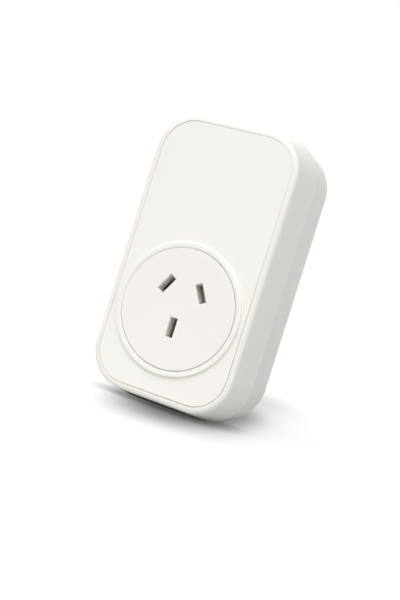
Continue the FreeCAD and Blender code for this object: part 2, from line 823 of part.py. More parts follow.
def make_contact(pole):
    """A sheet clip: two sprung leaves on a flat flange, in section across the slot."""
    body = new_body(f"contact_{pole}")
    mouth = BLOCK_FRONT + S.mouth_inset
    pinch = mouth + S.pinch_inset
    flange = S.contact_flange / 2
    right = [
        (flange, CONTACT_REAR),
        (flange, BLOCK_REAR),
        (S.leaf_root + S.leaf_thick, BLOCK_REAR),
        (S.leaf_pinch + S.leaf_thick, pinch),
        (S.leaf_mouth + S.leaf_thick, mouth),
        (S.leaf_mouth, mouth),
        (S.leaf_pinch, pinch),
        (S.leaf_root, BLOCK_REAR),
    ]
    left = [(-x, y) for x, y in reversed(right)]
    section = draw_polygon(section_sketch(body, "clip_section"), right + left)
    pad(body, "clip", section, S.contact_width, centred=True)
    x, z, lean = POLES[pole]
    return place(body, x, 0, z, lean)


def make_shutter():
    """Two ramped wings behind the upper slots, a plate between them and a foot for each spring."""
    rear = BLOCK_FRONT - S.shutter_gap
    front = COLLAR_REAR + S.shutter_gap
    plate = new_body("shutter_plate")
    half_outline = [
        (S.plate_top_half, SKIRT_INNER - S.core_drop - S.plate_clear),
        (S.plate_knee_half, S.plate_knee),
        (S.plate_foot_half, -S.plate_foot),
    ]
    mirrored = [(-x, z) for x, z in reversed(half_outline)]
    sketch = draw_polygon(front_sketch(plate, "plate_sketch", rear), half_outline + mirrored)
    pad(plate, "plate_sheet", sketch, S.shutter_plate)
    shapes = [plate]
    for pole, side in (("active", 1), ("neutral", -1)):
        wing = new_body(f"{pole}_wing")
        outer = side * S.wing_width / 2
        section = [(-outer, rear), (outer, rear), (outer, front), (-outer, rear - S.wing_edge)]
        sketch = draw_polygon(section_sketch(wing, f"{pole}_wing_section"), section)
        pad(wing, f"{pole}_ramp", sketch, S.wing_length, centred=True)
        x, z, lean = POLES[pole]
        shapes.append(place(wing, x, 0, z, lean))
    thick = rear - front
    foot_low = -S.plate_foot
    for side, x in (("left", -S.spring_x), ("right", S.spring_x)):
        foot = slab(f"{side}_spring_foot", x, S.foot_width, rear, thick, foot_low, S.foot_height)
        shapes.append(foot)
    length = S.guide_length + S.shutter_travel + 2 * S.shutter_gap
    width = S.guide_width + 2 * S.shutter_gap
    depth = S.shutter_plate + S.shutter_gap
    low = S.guide_low - S.shutter_gap
    guide = slab("guide_slot", as_size(0), width, BLOCK_FRONT, depth, low, length)
    return cut("safety_shutter", fused("shutter_body", shapes), guide)


def coil_wire(x, y, foot, length, radius, turns):
    """A helix up the Z axis as pairs of tangent arcs, two for each half turn."""
    rise = length / turns
    edges = []

    def point_and_direction(angle):
        height = foot + rise * angle / (2 * math.pi)
        point = Vector(x + radius * math.cos(angle), y + radius * math.sin(angle), height)
        direction = Vector(-radius * math.sin(angle), radius * math.cos(angle), rise / (2 * math.pi))
        return point, direction.normalize()

    def arc(start, corner, end):
        middle = (start + end) * 0.5
        half_chord = (end - start).Length / 2
        bend = (corner - start).getAngle(end - start)
        top = middle + (corner - middle).normalize() * (half_chord * math.tan(bend / 2))
        return Part.Arc(start, top, end).toShape()

    for number in range(int(2 * turns)):
        start, first = point_and_direction(number * math.pi)
        end, last = point_and_direction((number + 1) * math.pi)
        chord = end - start
        dot = chord.dot(first + last)
        square = 2 * (1 - first.dot(last))
        reach = (math.sqrt(dot * dot + square * chord.dot(chord)) - dot) / square
        left = start + first * reach
        right = end - last * reach
        joint = (left + right) * 0.5
        edges.append(arc(start, left, joint))
        edges.append(arc(joint, right, end))
    return Part.Wire(edges)


def wire_section(path, radius):
    """The wire's section at the start of a path, drawn with six sides to keep the coil light."""
    edge = path.OrderedEdges[0]
    start = path.OrderedVertexes[0].Point
    across = edge.tangentAt(edge.FirstParameter).cross(Vector(0, 0, 1)).normalize()
    upward = edge.tangentAt(edge.FirstParameter).cross(across)
    angles = [side * math.pi / 3 for side in range(6)]
    corners = [start + (across * math.cos(angle) + upward * math.sin(angle)) * radius for angle in angles]
    return Part.makePolygon([*corners, corners[0]])


def coil_gap(wire, turns, wire_diameter):
    """Least gap between neighbouring turns, measured on points of the wire."""
    points = wire.discretize(int(turns * 24) + 1)
    least = min(
        (points[first] - points[second]).Length
        for first in range(len(points))
        for second in range(first + 12, len(points))
    )
    return least - wire_diameter


def make_shutter_springs():
    springs = []
    wire = sheet.spring_wire
    foot = SPRING_FOOT.value + wire / 2
    length = SPRING_LENGTH.value - wire
    for side, x in (("left", -sheet.spring_x), ("right", sheet.spring_x)):
        path = coil_wire(x, SPRING_Y.value, foot, length, sheet.spring_radius, sheet.spring_turns)
        spring = document.addObject("Part::Feature", f"{side}_spring")
        spring.Shape = path.makePipeShell([wire_section(path, wire / 2)], True, False)
        spring.Placement = Placement()
        springs.append(spring)
        print(side, "spring turns stay", round(coil_gap(path, sheet.spring_turns, wire), 2), "mm apart")
    return group("shutter_springs", springs)


# Plug side
def make_pin(pole):
    """A flat pin with a head on the plug base. Live pins are thinner where the sleeve sits."""
    body = new_body(f"pin_{pole}")
    sleeved = pole != "earth"
    length = S.live_pin_length if sleeved else S.earth_pin_length
    neck_length = S.plug_base_depth + S.rear_wall + S.sleeve_length
    neck_width = S.pin_width - 2 * S.sleeve_wall if sleeved else S.pin_width
    neck_thick = S.pin_thick - 2 * S.sleeve_wall if sleeved else S.pin_thick
    blade = draw_rectangle(front_sketch(body, "blade_sketch", S.sleeve_length), S.pin_thick, S.pin_width)
    pad(body, "blade", blade, length - S.sleeve_length, to_wall=True)
    dress(body, "Chamfer", "tip", edges_between(body.Tip.Shape, length, length), S.pin_tip)
    neck = draw_rectangle(front_sketch(body, "neck_sketch", S.sleeve_length), neck_thick, neck_width)
    pad(body, "neck", neck, neck_length)
    head = draw_rectangle(front_sketch(body, "head_sketch", PLUG_BASE_FRONT), S.head_thick, S.head_width)
    pad(body, "head", head, S.head_height)
    x, z, lean = POLES[pole]
    return place(body, x, 0, z, lean)


def make_sleeve(pole):
    body = new_body(f"sleeve_{pole}")
    sketch = draw_rectangle(front_sketch(body, "wall_sketch", FLOOR), S.pin_thick, S.pin_width)
    draw_rectangle(sketch, S.pin_thick - 2 * S.sleeve_wall, S.pin_width - 2 * S.sleeve_wall)
    pad(body, "wall", sketch, S.rear_wall + S.sleeve_length, to_wall=True)
    x, z, lean = POLES[pole]
    return place(body, x, 0, z, lean)


def make_plug_base():
    body = new_body("plug_base")
    sketch = circles(body, "base_circle", FLOOR, CARRIER_RADIUS, [(as_size(0), -S.core_drop)])
    pad(body, "base", sketch, S.plug_base_depth)
    for pole in POLES:
        trim = 0 if pole == "earth" else 2 * S.sleeve_wall
        thick = S.pin_thick - trim
        hole = draw_pole(body, f"{pole}_hole_sketch", PLUG_BASE_FRONT, pole, thick, S.pin_width - trim)
        pocket(body, f"{pole}_hole", hole, S.plug_base_depth)
    return body


BARRIER_FRONT = CONTACT_REAR + S.barrier_gap
BARRIER_REAR = BARRIER_FRONT + S.barrier_thick
STRAP_FRONT = HEAD_FRONT - S.strap_thick


def make_barrier_plate():
    body = new_body("barrier_plate")
    disc = circles(body, "disc_circle", BARRIER_REAR, CARRIER_RADIUS, [(as_size(0), -S.core_drop)])
    pad(body, "disc", disc, S.barrier_thick)
    ears = circles(body, "ear_circles", BARRIER_REAR, S.barrier_ear, BLOCK_SCREWS)
    pad(body, "ears", ears, S.barrier_thick)
    holes = circles(body, "post_circles", BARRIER_FRONT, S.ear_radius + S.post_gap, BLOCK_SCREWS)
    pocket(body, "post_holes", holes, S.barrier_thick)
    centres = [POLES[pole][:2] for pole in ("neutral", "earth")]
    links = circles(body, "link_circles", BARRIER_FRONT, S.link_radius + S.post_gap, centres)
    pocket(body, "link_holes", links, S.barrier_thick)
    return body


def make_link(pole, rear):
    x, z, lean = POLES[pole]
    return rod(f"{pole}_link", S.link_radius, rear - CONTACT_REAR, x, rear, z)


def make_pin_strap(name, pole):
    """A flat strap from a pin head up to the board, with a solder tab bent back to it."""
    x, z, lean = POLES[pole]
    low = z - S.strap_width / 2
    flat = slab(f"{name}_flat", x, S.strap_width, HEAD_FRONT, S.strap_thick, low, STRAP_TOP - low)
    tab_low = STRAP_TOP - S.strap_thick
    reach = BOARD_FRONT - HEAD_FRONT
    tab = slab(f"{name}_tab", x, S.strap_width, BOARD_FRONT, reach, tab_low, S.strap_thick)
    return fused(name, [flat, tab])


def make_output_strap():
    """From the side of the active contact's flange, out past the block and up to the board."""
    x, z, lean = POLES["active"]
    flange_reach = S.contact_flange / 2 * cosine(S.pole_tilt) + S.contact_width / 2 * sine(S.pole_tilt)
    inner = x - flange_reach
    outer = S.output_strap_x - S.output_strap_width / 2
    width = S.output_strap_width
    low = S.output_strap_low
    foot = slab("output_foot", (inner + outer) / 2, inner - outer, CONTACT_REAR, S.contact_sheet, low, width)
    top = STRAP_TOP - S.output_strap_short
    upright = slab("output_upright", S.output_strap_x, width, CONTACT_REAR, S.contact_sheet, low, top - low)
    tab_low = top - S.contact_sheet
    tab_depth = BOARD_FRONT - CONTACT_REAR
    tab = slab("output_tab", S.output_strap_x, width, BOARD_FRONT, tab_depth, tab_low, S.contact_sheet)
    return fused("output_strap", [foot, upright, tab])


# Board and what stands on it
def make_main_board():
    body = new_body("main_board")
    corner = CASE_X + CASE_HIGH - (S.case_boss_radius + S.board_boss_gap) * math.sqrt(2)
    right = [
        (BOARD_HALF, S.board_low),
        (BOARD_HALF, corner - BOARD_HALF),
        (corner - BOARD_TOP, BOARD_TOP),
    ]
    left = [(-x, z) for x, z in reversed(right)]
    sketch = draw_polygon(front_sketch(body, "board_sketch", BOARD_REAR), right + left)
    pad(body, "board", sketch, S.board_thick)
    radius = S.screw_radius + S.screw_hole_gap
    holes = circles(body, "hole_circles", BOARD_FRONT, radius, BOARD_SCREWS)
    pocket(body, "screw_holes", holes, S.board_thick)
    return body


RELAY_BASE_FRONT = BOARD_FRONT - S.relay_base_thick
RELAY_TOP = BOARD_FRONT - S.relay_height
RELAY_LOW = STRAP_TOP + S.relay_gap
SPOOL_FLANGE = RELAY_BASE_FRONT - RELAY_TOP - S.relay_wall - S.yoke_thick - S.bobbin_seat - S.bobbin_front
COIL_Y = RELAY_BASE_FRONT - S.bobbin_seat - SPOOL_FLANGE / 2
COIL_LOW = RELAY_LOW + S.coil_low
COIL_LENGTH = S.relay_length - S.relay_ends
COIL_HIGH = COIL_LOW + COIL_LENGTH
CORE_TOP = COIL_HIGH + S.bobbin_flange_thick + S.core_head_thick
ARMATURE_LOW = CORE_TOP + S.armature_gap
YOKE_REAR = COIL_Y - SPOOL_FLANGE / 2
PIVOT_Y = YOKE_REAR - S.yoke_thick


def make_relay_shell():
    length = S.relay_length
    base = slab("relay_base", S.relay_x, S.relay_width, BOARD_FRONT, S.relay_base_thick, RELAY_LOW, length)
    depth = S.relay_height - S.relay_base_thick
    outer = slab("cover_block", S.relay_x, S.relay_width, RELAY_BASE_FRONT, depth, RELAY_LOW, S.relay_length)
    width = S.relay_width - 2 * S.relay_wall
    length = S.relay_length - 2 * S.relay_wall
    low = RELAY_LOW + S.relay_wall
    inner = slab("cover_room", S.relay_x, width, RELAY_BASE_FRONT, depth - S.relay_wall, low, length)
    return base, cut("relay_cover", outer, inner)


def make_relay_coil():
    """A flanged spool, its winding, and the iron core with its pole head."""
    thick = S.bobbin_flange_thick
    shapes = [rod("spool_tube", S.bobbin_radius, COIL_LENGTH, S.relay_x, COIL_Y, COIL_LOW, "up")]
    flange_rear = COIL_Y + SPOOL_FLANGE / 2
    for name, low in (("spool_foot", COIL_LOW - thick), ("spool_head", COIL_HIGH)):
        shapes.append(slab(name, S.relay_x, SPOOL_FLANGE, flange_rear, SPOOL_FLANGE, low, thick))
    leg_low = COIL_LOW - thick - S.yoke_thick
    bore = rod("spool_bore", S.core_radius, CORE_TOP - leg_low, S.relay_x, COIL_Y, leg_low, "up")
    bobbin = cut("relay_bobbin", fused("spool", shapes), bore)
    radius = SPOOL_FLANGE / 2 - S.winding_inset
    winding = rod("winding", radius, COIL_LENGTH, S.relay_x, COIL_Y, COIL_LOW, "up")
    tube = rod("winding_bore", S.bobbin_radius, COIL_LENGTH, S.relay_x, COIL_Y, COIL_LOW, "up")
    coil = cut("relay_coil", winding, tube)
    stem = rod("core_stem", S.core_radius, CORE_TOP - leg_low, S.relay_x, COIL_Y, leg_low, "up")
    head_low = CORE_TOP - S.core_head_thick
    head = rod("core_head", S.core_head_radius, S.core_head_thick, S.relay_x, COIL_Y, head_low, "up")
    return bobbin, coil, fused("relay_core", [stem, head])


def make_relay_yoke():
    leg_low = COIL_LOW - S.bobbin_flange_thick - S.yoke_thick
    leg_rear = COIL_Y + SPOOL_FLANGE / 2
    leg = slab("yoke_leg", S.relay_x, S.yoke_width, leg_rear, leg_rear - PIVOT_Y, leg_low, S.yoke_thick)
    height = ARMATURE_LOW - S.armature_rest - leg_low
    back = slab("yoke_back", S.relay_x, S.yoke_width, YOKE_REAR, S.yoke_thick, leg_low, height)
    hole = rod("yoke_hole", S.core_radius, S.yoke_thick, S.relay_x, COIL_Y, leg_low, "up")
    return cut("relay_yoke", fused("yoke_plates", [leg, back]), hole)


def make_relay_armature():
    """The hinged iron plate over the pole, and the upright contact leaf that it carries."""
    rear = PIVOT_Y + S.armature_reach
    thick = S.armature_thick
    plate = slab("relay_armature", S.relay_x, S.armature_width, rear, S.armature_reach, ARMATURE_LOW, thick)
    strip = slab("leaf_strip", S.relay_x, S.leaf_strip_width, PIVOT_Y, S.leaf_strip_thick,
                 ARMATURE_LOW, S.leaf_strip_height)
    height = ARMATURE_LOW + S.contact_button_height
    button_rear = PIVOT_Y + S.contact_button_thick
    radius = S.contact_button_radius
    button = rod("moving_button", radius, S.contact_button_thick, S.relay_x, button_rear, height)
    return plate, fused("relay_contact_spring", [strip, button])


def make_relay_fixed_contact():
    height = ARMATURE_LOW + S.contact_button_height
    face = PIVOT_Y + S.contact_button_thick + S.contact_open_gap
    button_rear = face + S.contact_button_thick
    low = height - S.fixed_post_thick / 2
    post_depth = RELAY_BASE_FRONT - button_rear
    thick = S.fixed_post_thick
    post = slab("fixed_post", S.relay_x, S.fixed_post_width, RELAY_BASE_FRONT, post_depth, low, thick)
    radius = S.contact_button_radius
    button = rod("fixed_button", radius, S.contact_button_thick, S.relay_x, button_rear, height)
    return fused("relay_fixed_contact", [post, button])


# The parts on the board, each placed from the board's edge or from its neighbour
FILM_X = S.film_side - BOARD_HALF
VARISTOR_X = BOARD_HALF - S.varistor_side
VARISTOR_Z = BOARD_SCREW_LOW + S.screw_head_radius + S.part_gap + S.varistor_radius
RESISTOR_X = BOARD_HALF - S.resistor_side
RESISTOR_LOW = VARISTOR_Z + S.varistor_radius + S.part_gap
BULK_X = VARISTOR_X - S.varistor_thick / 2 - S.bulk_side - S.bulk_radius
BULK_Z = S.board_low + S.bulk_foot
TRANSFORMER_X = RESISTOR_X - S.resistor_radius - S.transformer_side - S.transformer_width / 2
TRANSFORMER_Z = BULK_Z + S.bulk_radius + S.part_gap + S.transformer_length / 2
RADIO_LOW = TRANSFORMER_Z + S.transformer_length / 2 + S.radio_gap


def make_transformer():
    """A shell core with two windows, round a spool that stands on the board."""
    seat = BOARD_FRONT - S.transformer_seat
    x = TRANSFORMER_X
    core_low = TRANSFORMER_Z - S.transformer_core_thick / 2
    thick = S.transformer_core_thick
    height = S.transformer_height - S.transformer_seat
    block = slab("core_block", x, S.transformer_width, seat, height, core_low, thick)
    window = (S.transformer_width - S.transformer_middle) / 2 - S.transformer_leg
    shift = (S.transformer_middle + window) / 2
    window_rear = seat - S.transformer_yoke
    window_depth = height - 2 * S.transformer_yoke
    windows = [
        slab("left_window", x - shift, window, window_rear, window_depth, core_low, thick),
        slab("right_window", x + shift, window, window_rear, window_depth, core_low, thick),
    ]
    core = cut("transformer_core", block, fused("windows", windows))
    low = TRANSFORMER_Z - S.transformer_length / 2
    length = S.transformer_length
    foot = slab("spool_seat", x, S.transformer_width, BOARD_FRONT, S.transformer_seat, low, length)
    spool_width = S.transformer_middle + 2 * window
    tower_depth = S.transformer_yoke + window_depth
    tower = slab("spool_tower", x, spool_width, seat, tower_depth, low, S.transformer_length)
    return core, cut("transformer_bobbin", fused("spool_block", [foot, tower]), core)


def make_varistor():
    y = BOARD_FRONT - S.varistor_lift - S.varistor_radius
    start = VARISTOR_X - S.varistor_thick / 2
    disc = rod("varistor_disc", S.varistor_radius, S.varistor_thick, start, y, VARISTOR_Z, "right")
    shapes = [disc]
    for side, shift in (("low", -1), ("high", 1)):
        z = VARISTOR_Z + shift * S.lead_spacing / 2
        length = S.varistor_lift + S.varistor_radius / 2
        shapes.append(rod(f"{side}_lead", S.lead_radius, length, VARISTOR_X, BOARD_FRONT, z))
    return fused("varistor", shapes)


def make_fuse_resistor():
    y = BOARD_FRONT - S.resistor_radius
    tube = rod("resistor_tube", S.resistor_radius, S.resistor_length, RESISTOR_X, y, RESISTOR_LOW, "up")
    lead_low = RESISTOR_LOW - S.resistor_lead
    full = S.resistor_length + 2 * S.resistor_lead
    shapes = [tube, rod("resistor_wire", S.lead_radius, full, RESISTOR_X, y, lead_low, "up")]
    for name, z in (("wire_foot", lead_low), ("wire_head", lead_low + full)):
        shapes.append(rod(name, S.lead_radius, S.resistor_radius, RESISTOR_X, BOARD_FRONT, z))
    return fused("fuse_resistor", shapes)


def make_board_parts():
    film = slab("film_block", FILM_X, S.film_width, BOARD_FRONT, S.film_height, FILM_LOW, S.film_length)
    film_top = BOARD_FRONT - S.film_height
    bulk = rod("bulk_can", S.bulk_radius, S.bulk_height, BULK_X, BOARD_FRONT, BULK_Z)
    bulk_top = BOARD_FRONT - S.bulk_height
    thick = S.radio_thick
    radio = slab("radio_module", TRANSFORMER_X, S.radio_width, BOARD_FRONT, S.radio_depth, RADIO_LOW, thick)
    can_rear = BOARD_FRONT - S.can_lift
    can_low = RADIO_LOW + S.radio_thick
    can = slab("shield_can", TRANSFORMER_X, S.can_width, can_rear, S.can_depth, can_low, S.can_height)
    return [
        rounded("film_capacitor", film, (film_top, film_top), S.film_round),
        rounded("bulk_capacitor", bulk, (bulk_top, bulk_top), S.bulk_round),
        radio,
        can,
    ]


# Pairing button
def make_button():
    """A round cap flush with the side wall, a flange that holds it in, and a stem to the switch."""
    y = S.button_y
    z = BUTTON_Z
    share = (as_size(0) - y) / (as_size(0) - PARTING)
    wall_offset = S.rear_offset + (S.parting_offset - S.rear_offset) * share
    outer = -(HALF_WIDTH + wall_offset + S.button_proud)
    flange_x = -BUTTON_SEAT
    flange_end = flange_x + S.button_flange_thick
    stem_end = -(SWITCH_FACE + S.plunger_proud)
    cap = rod("button_cap", S.button_radius, flange_x - outer, outer, y, z, "right")
    document.recompute()
    soft_cap = document.addObject("Part::Fillet", "button_soft_cap")
    soft_cap.Base = cap
    rim = [
        number
        for number, edge in enumerate(cap.Shape.Edges, start=1)
        if edge.BoundBox.XMax < outer.value + S.button_round.value
    ]
    soft_cap.Edges = [(number, S.button_round.value, S.button_round.value) for number in rim]
    flange = rod("button_flange_disc", BUTTON_FLANGE_RADIUS, S.button_flange_thick, flange_x, y, z, "right")
    stem = rod("button_stem", S.button_stem_radius, stem_end - flange_end, flange_end, y, z, "right")
    return fused("pairing_button", [soft_cap, flange, stem])


def make_switch():
    x = -SWITCH_FACE + S.switch_depth / 2
    low = BUTTON_Z - S.switch_width / 2
    block = slab("switch_block", x, S.switch_depth, BOARD_FRONT, S.switch_height, low, S.switch_width)
    sunk = S.plunger_sunk + S.button_travel + S.plunger_gap
    bore_radius = S.plunger_radius + S.plunger_gap
    bore = rod("switch_bore", bore_radius, sunk, -SWITCH_FACE, S.button_y, BUTTON_Z, "right")
    length = S.plunger_proud + S.plunger_sunk
    start = -(SWITCH_FACE + S.plunger_proud)
    plunger = rod("switch_plunger", S.plunger_radius, length, start, S.button_y, BUTTON_Z, "right")
    return cut("switch_body", block, bore), plunger


# Screws
def make_screws(name, places, seat, bite, shank_radius, head_radius, head_height, to_wall):
    """Round-headed screws. The head stands off the seat and the shank runs the other way."""
    screws = []
    for number, (x, z) in enumerate(places, start=1):
        head_start = seat if to_wall else seat + head_height
        shank_start = seat + bite if to_wall else seat
        head = rod(f"{name}_head_{number}", head_radius, head_height, x, head_start, z)
        shank = rod(f"{name}_shank_{number}", shank_radius, bite, x, shank_start, z)
        screws.append(fused(f"{name}_{number}", [head, shank]))
    return group(name, screws)


def make_all_screws():
    case_seat = -S.case_head_depth
    case_bite = case_seat - PARTING + S.case_screw_bite
    ear_front = BLOCK_REAR - S.ear_thick
    sizes = (S.screw_radius, S.screw_head_radius, S.screw_head_height, True)
    return [
        make_screws("case_screws", CASE_SCREWS, case_seat, case_bite, S.case_screw_radius,
                    S.case_head_radius, S.case_head_height, False),
        make_screws("board_screws", BOARD_SCREWS, BOARD_FRONT, S.board_thick + S.screw_bite, *sizes),
        make_screws("block_screws", BLOCK_SCREWS, ear_front, S.ear_thick + S.screw_bite, *sizes),
    ]


def make_pieces():
    pieces = [make_front_cover(), make_fascia_panel(), make_rear_housing(), make_socket_face()]
    pieces += [make_socket_block(), make_shutter(), make_shutter_springs()]
    pieces += [make_contact(pole) for pole in POLES]
    pieces += [make_pin(pole) for pole in POLES]
    pieces += [make_sleeve("active"), make_sleeve("neutral"), make_plug_base(), make_barrier_plate()]
    pieces += [make_link("neutral", STRAP_FRONT), make_link("earth", HEAD_FRONT)]
    pieces += [make_pin_strap("input_strap", "active"), make_pin_strap("neutral_strap", "neutral")]
    pieces += [make_output_strap(), make_main_board(), *make_relay_shell(), *make_relay_coil()]
    pieces += [make_relay_yoke(), *make_relay_armature(), make_relay_fixed_contact()]
    pieces += [*make_transformer(), make_varistor(), make_fuse_resistor(), *make_board_parts()]
    pieces += [make_button(), *make_switch(), *make_all_screws()]
    return pieces


def check_and_write(pieces):
    document.recompute()
    for item in document.Objects:
        if "Invalid" in item.State or "Error" in item.State:
            raise ValueError(f"{item.Name} failed")
    for piece in pieces:
        piece.Label = piece.Name
        if piece.Shape.isNull() or not piece.Shape.isValid():
            raise ValueError(f"{piece.Name} has no valid shape")
    os.makedirs("parts", exist_ok=True)
    for piece in pieces:
        piece.Shape.exportStep(f"parts/{piece.Label}.step")
    print(len(pieces), "pieces written")


check_and_write(make_pieces())
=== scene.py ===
import math

import bmesh
import bpy
from mathutils import Matrix, Vector


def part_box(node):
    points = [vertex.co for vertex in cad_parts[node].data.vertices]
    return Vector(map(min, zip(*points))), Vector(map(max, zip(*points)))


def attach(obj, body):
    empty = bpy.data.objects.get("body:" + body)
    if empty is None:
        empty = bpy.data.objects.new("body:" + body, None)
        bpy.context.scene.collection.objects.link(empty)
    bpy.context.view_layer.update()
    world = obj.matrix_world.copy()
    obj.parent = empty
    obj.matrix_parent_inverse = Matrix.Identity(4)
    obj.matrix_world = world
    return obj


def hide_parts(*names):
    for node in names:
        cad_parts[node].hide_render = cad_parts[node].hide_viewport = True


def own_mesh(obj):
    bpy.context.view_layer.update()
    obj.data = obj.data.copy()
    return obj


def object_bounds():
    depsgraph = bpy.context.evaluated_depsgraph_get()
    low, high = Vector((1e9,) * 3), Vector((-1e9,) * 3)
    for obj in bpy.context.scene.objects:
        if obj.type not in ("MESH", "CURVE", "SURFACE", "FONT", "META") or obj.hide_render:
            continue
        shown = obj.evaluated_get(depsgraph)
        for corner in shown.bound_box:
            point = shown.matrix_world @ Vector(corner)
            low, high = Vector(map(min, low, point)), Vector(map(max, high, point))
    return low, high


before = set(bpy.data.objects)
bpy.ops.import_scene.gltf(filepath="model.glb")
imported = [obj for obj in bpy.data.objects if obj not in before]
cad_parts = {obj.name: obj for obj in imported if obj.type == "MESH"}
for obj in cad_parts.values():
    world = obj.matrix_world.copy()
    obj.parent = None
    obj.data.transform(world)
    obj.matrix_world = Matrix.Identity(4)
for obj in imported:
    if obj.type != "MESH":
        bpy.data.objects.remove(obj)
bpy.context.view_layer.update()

# Rear housing: the deep half of the case, moulded in white polycarbonate. It stands against the
# wall, and its posts carry the plug base, the outlet and the circuit board. A bare rating label of
# white polyester film is stuck in a shallow recess above the pins.


def linear(hex_colour):
    """An sRGB hex colour as the linear numbers that a shader takes."""
    values = [int(hex_colour[place:place + 2], 16) / 255 for place in (0, 2, 4)]
    return [v / 12.92 if v <= 0.04045 else ((v + 0.055) / 1.055) ** 2.4 for v in values] + [1.0]


def add(owner, kind, inputs=None, **settings):
    """Adds a node with its settings, sets or links its inputs, and returns its outputs."""
    node = owner.node_tree.nodes.new(kind)
    for name, value in settings.items():
        setattr(node, name, value)
    for name, value in (inputs or {}).items():
        if isinstance(value, bpy.types.NodeSocket):
            owner.node_tree.links.new(value, node.inputs[name])
        else:
            node.inputs[name].default_value = value
    return node.outputs


def new_material(name):
    """A material that has no nodes yet."""
    material = bpy.data.materials.new(name)
    material.use_nodes = True
    material.node_tree.nodes.clear()
    return material


def clouded(material, place, size, detail, colour, shade):
    """Soft clouds of a size, and the tone between a colour and its shade that they give."""
    pattern = {"Vector": place, "Scale": 1 / size, "Detail": detail}
    clouds = add(material, "ShaderNodeTexNoise", pattern)["Fac"]
    tones = {0: clouds, 6: linear(colour), 7: linear(shade)}
    return clouds, add(material, "ShaderNodeMix", tones, data_type="RGBA")[2]


def surfaced(material, grain, relief, edge, inputs):
    """Gives a material its shader, with a grain of some height and edges broken by a radius."""
    broken = add(material, "ShaderNodeBevel", {"Radius": edge}, samples=4)[0]
    raised = {"Height": grain, "Distance": relief, "Normal": broken}
    bump = add(material, "ShaderNodeBump", raised)[0]
    shader = add(material, "ShaderNodeBsdfPrincipled", {**inputs, "Normal": bump})[0]
    add(material, "ShaderNodeOutputMaterial", {"Surface": shader})
    return material


# Plastic flows in clouds about 17 mm across, three to 50 mm, and its gloss swings with them. The
# edge of a moulding is broken by 0.12 mm.
flow_size = 0.05 / 3
flow_swing = 0.04
moulded_edge = 0.00012


def moulded(name, colour, shade, roughness, grit, relief):
    """Moulded plastic: faint flow shading, the grit of its tool, and edges just broken."""
    material = new_material(name)
    place = add(material, "ShaderNodeTexCoord")["Object"]
    flow, tone = clouded(material, place, flow_size, 2.0, colour, shade)
    limits = {"Value": flow, "To Min": roughness - flow_swing, "To Max": roughness + flow_swing}
    gloss = add(material, "ShaderNodeMapRange", limits)[0]
    pattern = {"Vector": place, "Scale": 1 / grit, "Detail": 3.0}
    grain = add(material, "ShaderNodeTexNoise", pattern)["Fac"]
    inputs = {"Base Color": tone, "Roughness": gloss, "IOR": 1.58}
    return surfaced(material, grain, relief, moulded_edge, inputs)


def dress(material, *names):
    """Gives CAD nodes their material."""
    for name in names:
        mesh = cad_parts[name].data
        mesh.materials.clear()
        mesh.materials.append(material)


def skin(outlines):
    """A closed skin over a row of outlines that all have as many points."""
    count = len(outlines[0])
    last = (len(outlines) - 1) * count
    faces = [list(range(count))[::-1], [last + corner for corner in range(count)]]
    for start in range(0, last, count):
        for corner in range(count):
            here, beside = start + corner, start + (corner + 1) % count
            faces.append([here, beside, beside + count, here + count])
    return [point for outline in outlines for point in outline], faces


def merged(shapes):
    """One list of vertices and one of faces out of several."""
    vertices, faces = [], []
    for some_vertices, some_faces in shapes:
        first = len(vertices)
        vertices += some_vertices
        faces += [[first + corner for corner in face] for face in some_faces]
    return vertices, faces


def piece(name, shapes, material, angle=40):
    """A new mesh that rides on the housing. Faces that meet below the angle shade as one."""
    mesh = bpy.data.meshes.new(name)
    vertices, faces = merged(shapes)
    mesh.from_pydata([tuple(vertex) for vertex in vertices], [], faces)
    turned_out = bmesh.new()
    turned_out.from_mesh(mesh)
    bmesh.ops.recalc_face_normals(turned_out, faces=turned_out.faces)
    turned_out.to_mesh(mesh)
    turned_out.free()
    mesh.materials.append(material)
    mesh.shade_smooth()
    mesh.set_sharp_from_angle(angle=math.radians(angle))
    item = bpy.data.objects.new(name, mesh)
    bpy.context.scene.collection.objects.link(item)
    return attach(item, "housing")


def rounded_outline(middle, width, height, corner, steps=5):
    """Pairs of numbers round a rectangle with round corners."""
    points = []
    for quarter, (side, top) in enumerate([(1, 1), (-1, 1), (-1, -1), (1, -1)]):
        for step in range(steps + 1):
            angle = math.pi / 2 * (quarter + step / steps)
            across = side * (width / 2 - corner) + corner * math.cos(angle)
            rise = top * (height / 2 - corner) + corner * math.sin(angle)
            points.append((middle[0] + across, middle[1] + rise))
    return points


def in_space(pair, level, axis):
    """A point from a pair of numbers across an axis and a level along it."""
    point = list(pair)
    point.insert("xyz".index(axis), level)
    return point


def rounded_box(low, high, corner, edge, axis="y"):
    """A box with round corners along one axis and broken edges at its two ends."""
    along = "xyz".index(axis)
    first, second = [number for number in range(3) if number != along]
    middle = ((low[first] + high[first]) / 2, (low[second] + high[second]) / 2)
    near, far = low[along], high[along]
    outlines = []
    for level, inset in [(near, edge), (near + edge, 0), (far - edge, 0), (far, edge)]:
        width = high[first] - low[first] - 2 * inset
        height = high[second] - low[second] - 2 * inset
        outline = rounded_outline(middle, width, height, corner - inset)
        outlines.append([in_space(pair, level, axis) for pair in outline])
    return skin(outlines)


# Polycarbonate from a spark-eroded tool: warm white and satin. The grit is about 0.05 mm, and it
# is drawn at 0.2 mm, with hardly any height, so that it only softens the gloss.
shell_plastic = moulded("polycarbonate_white_spark_eroded", "F5F2EE", "F3F0EB",
                        roughness=0.42, grit=0.0002, relief=0.000004)
dress(shell_plastic, "rear_housing")
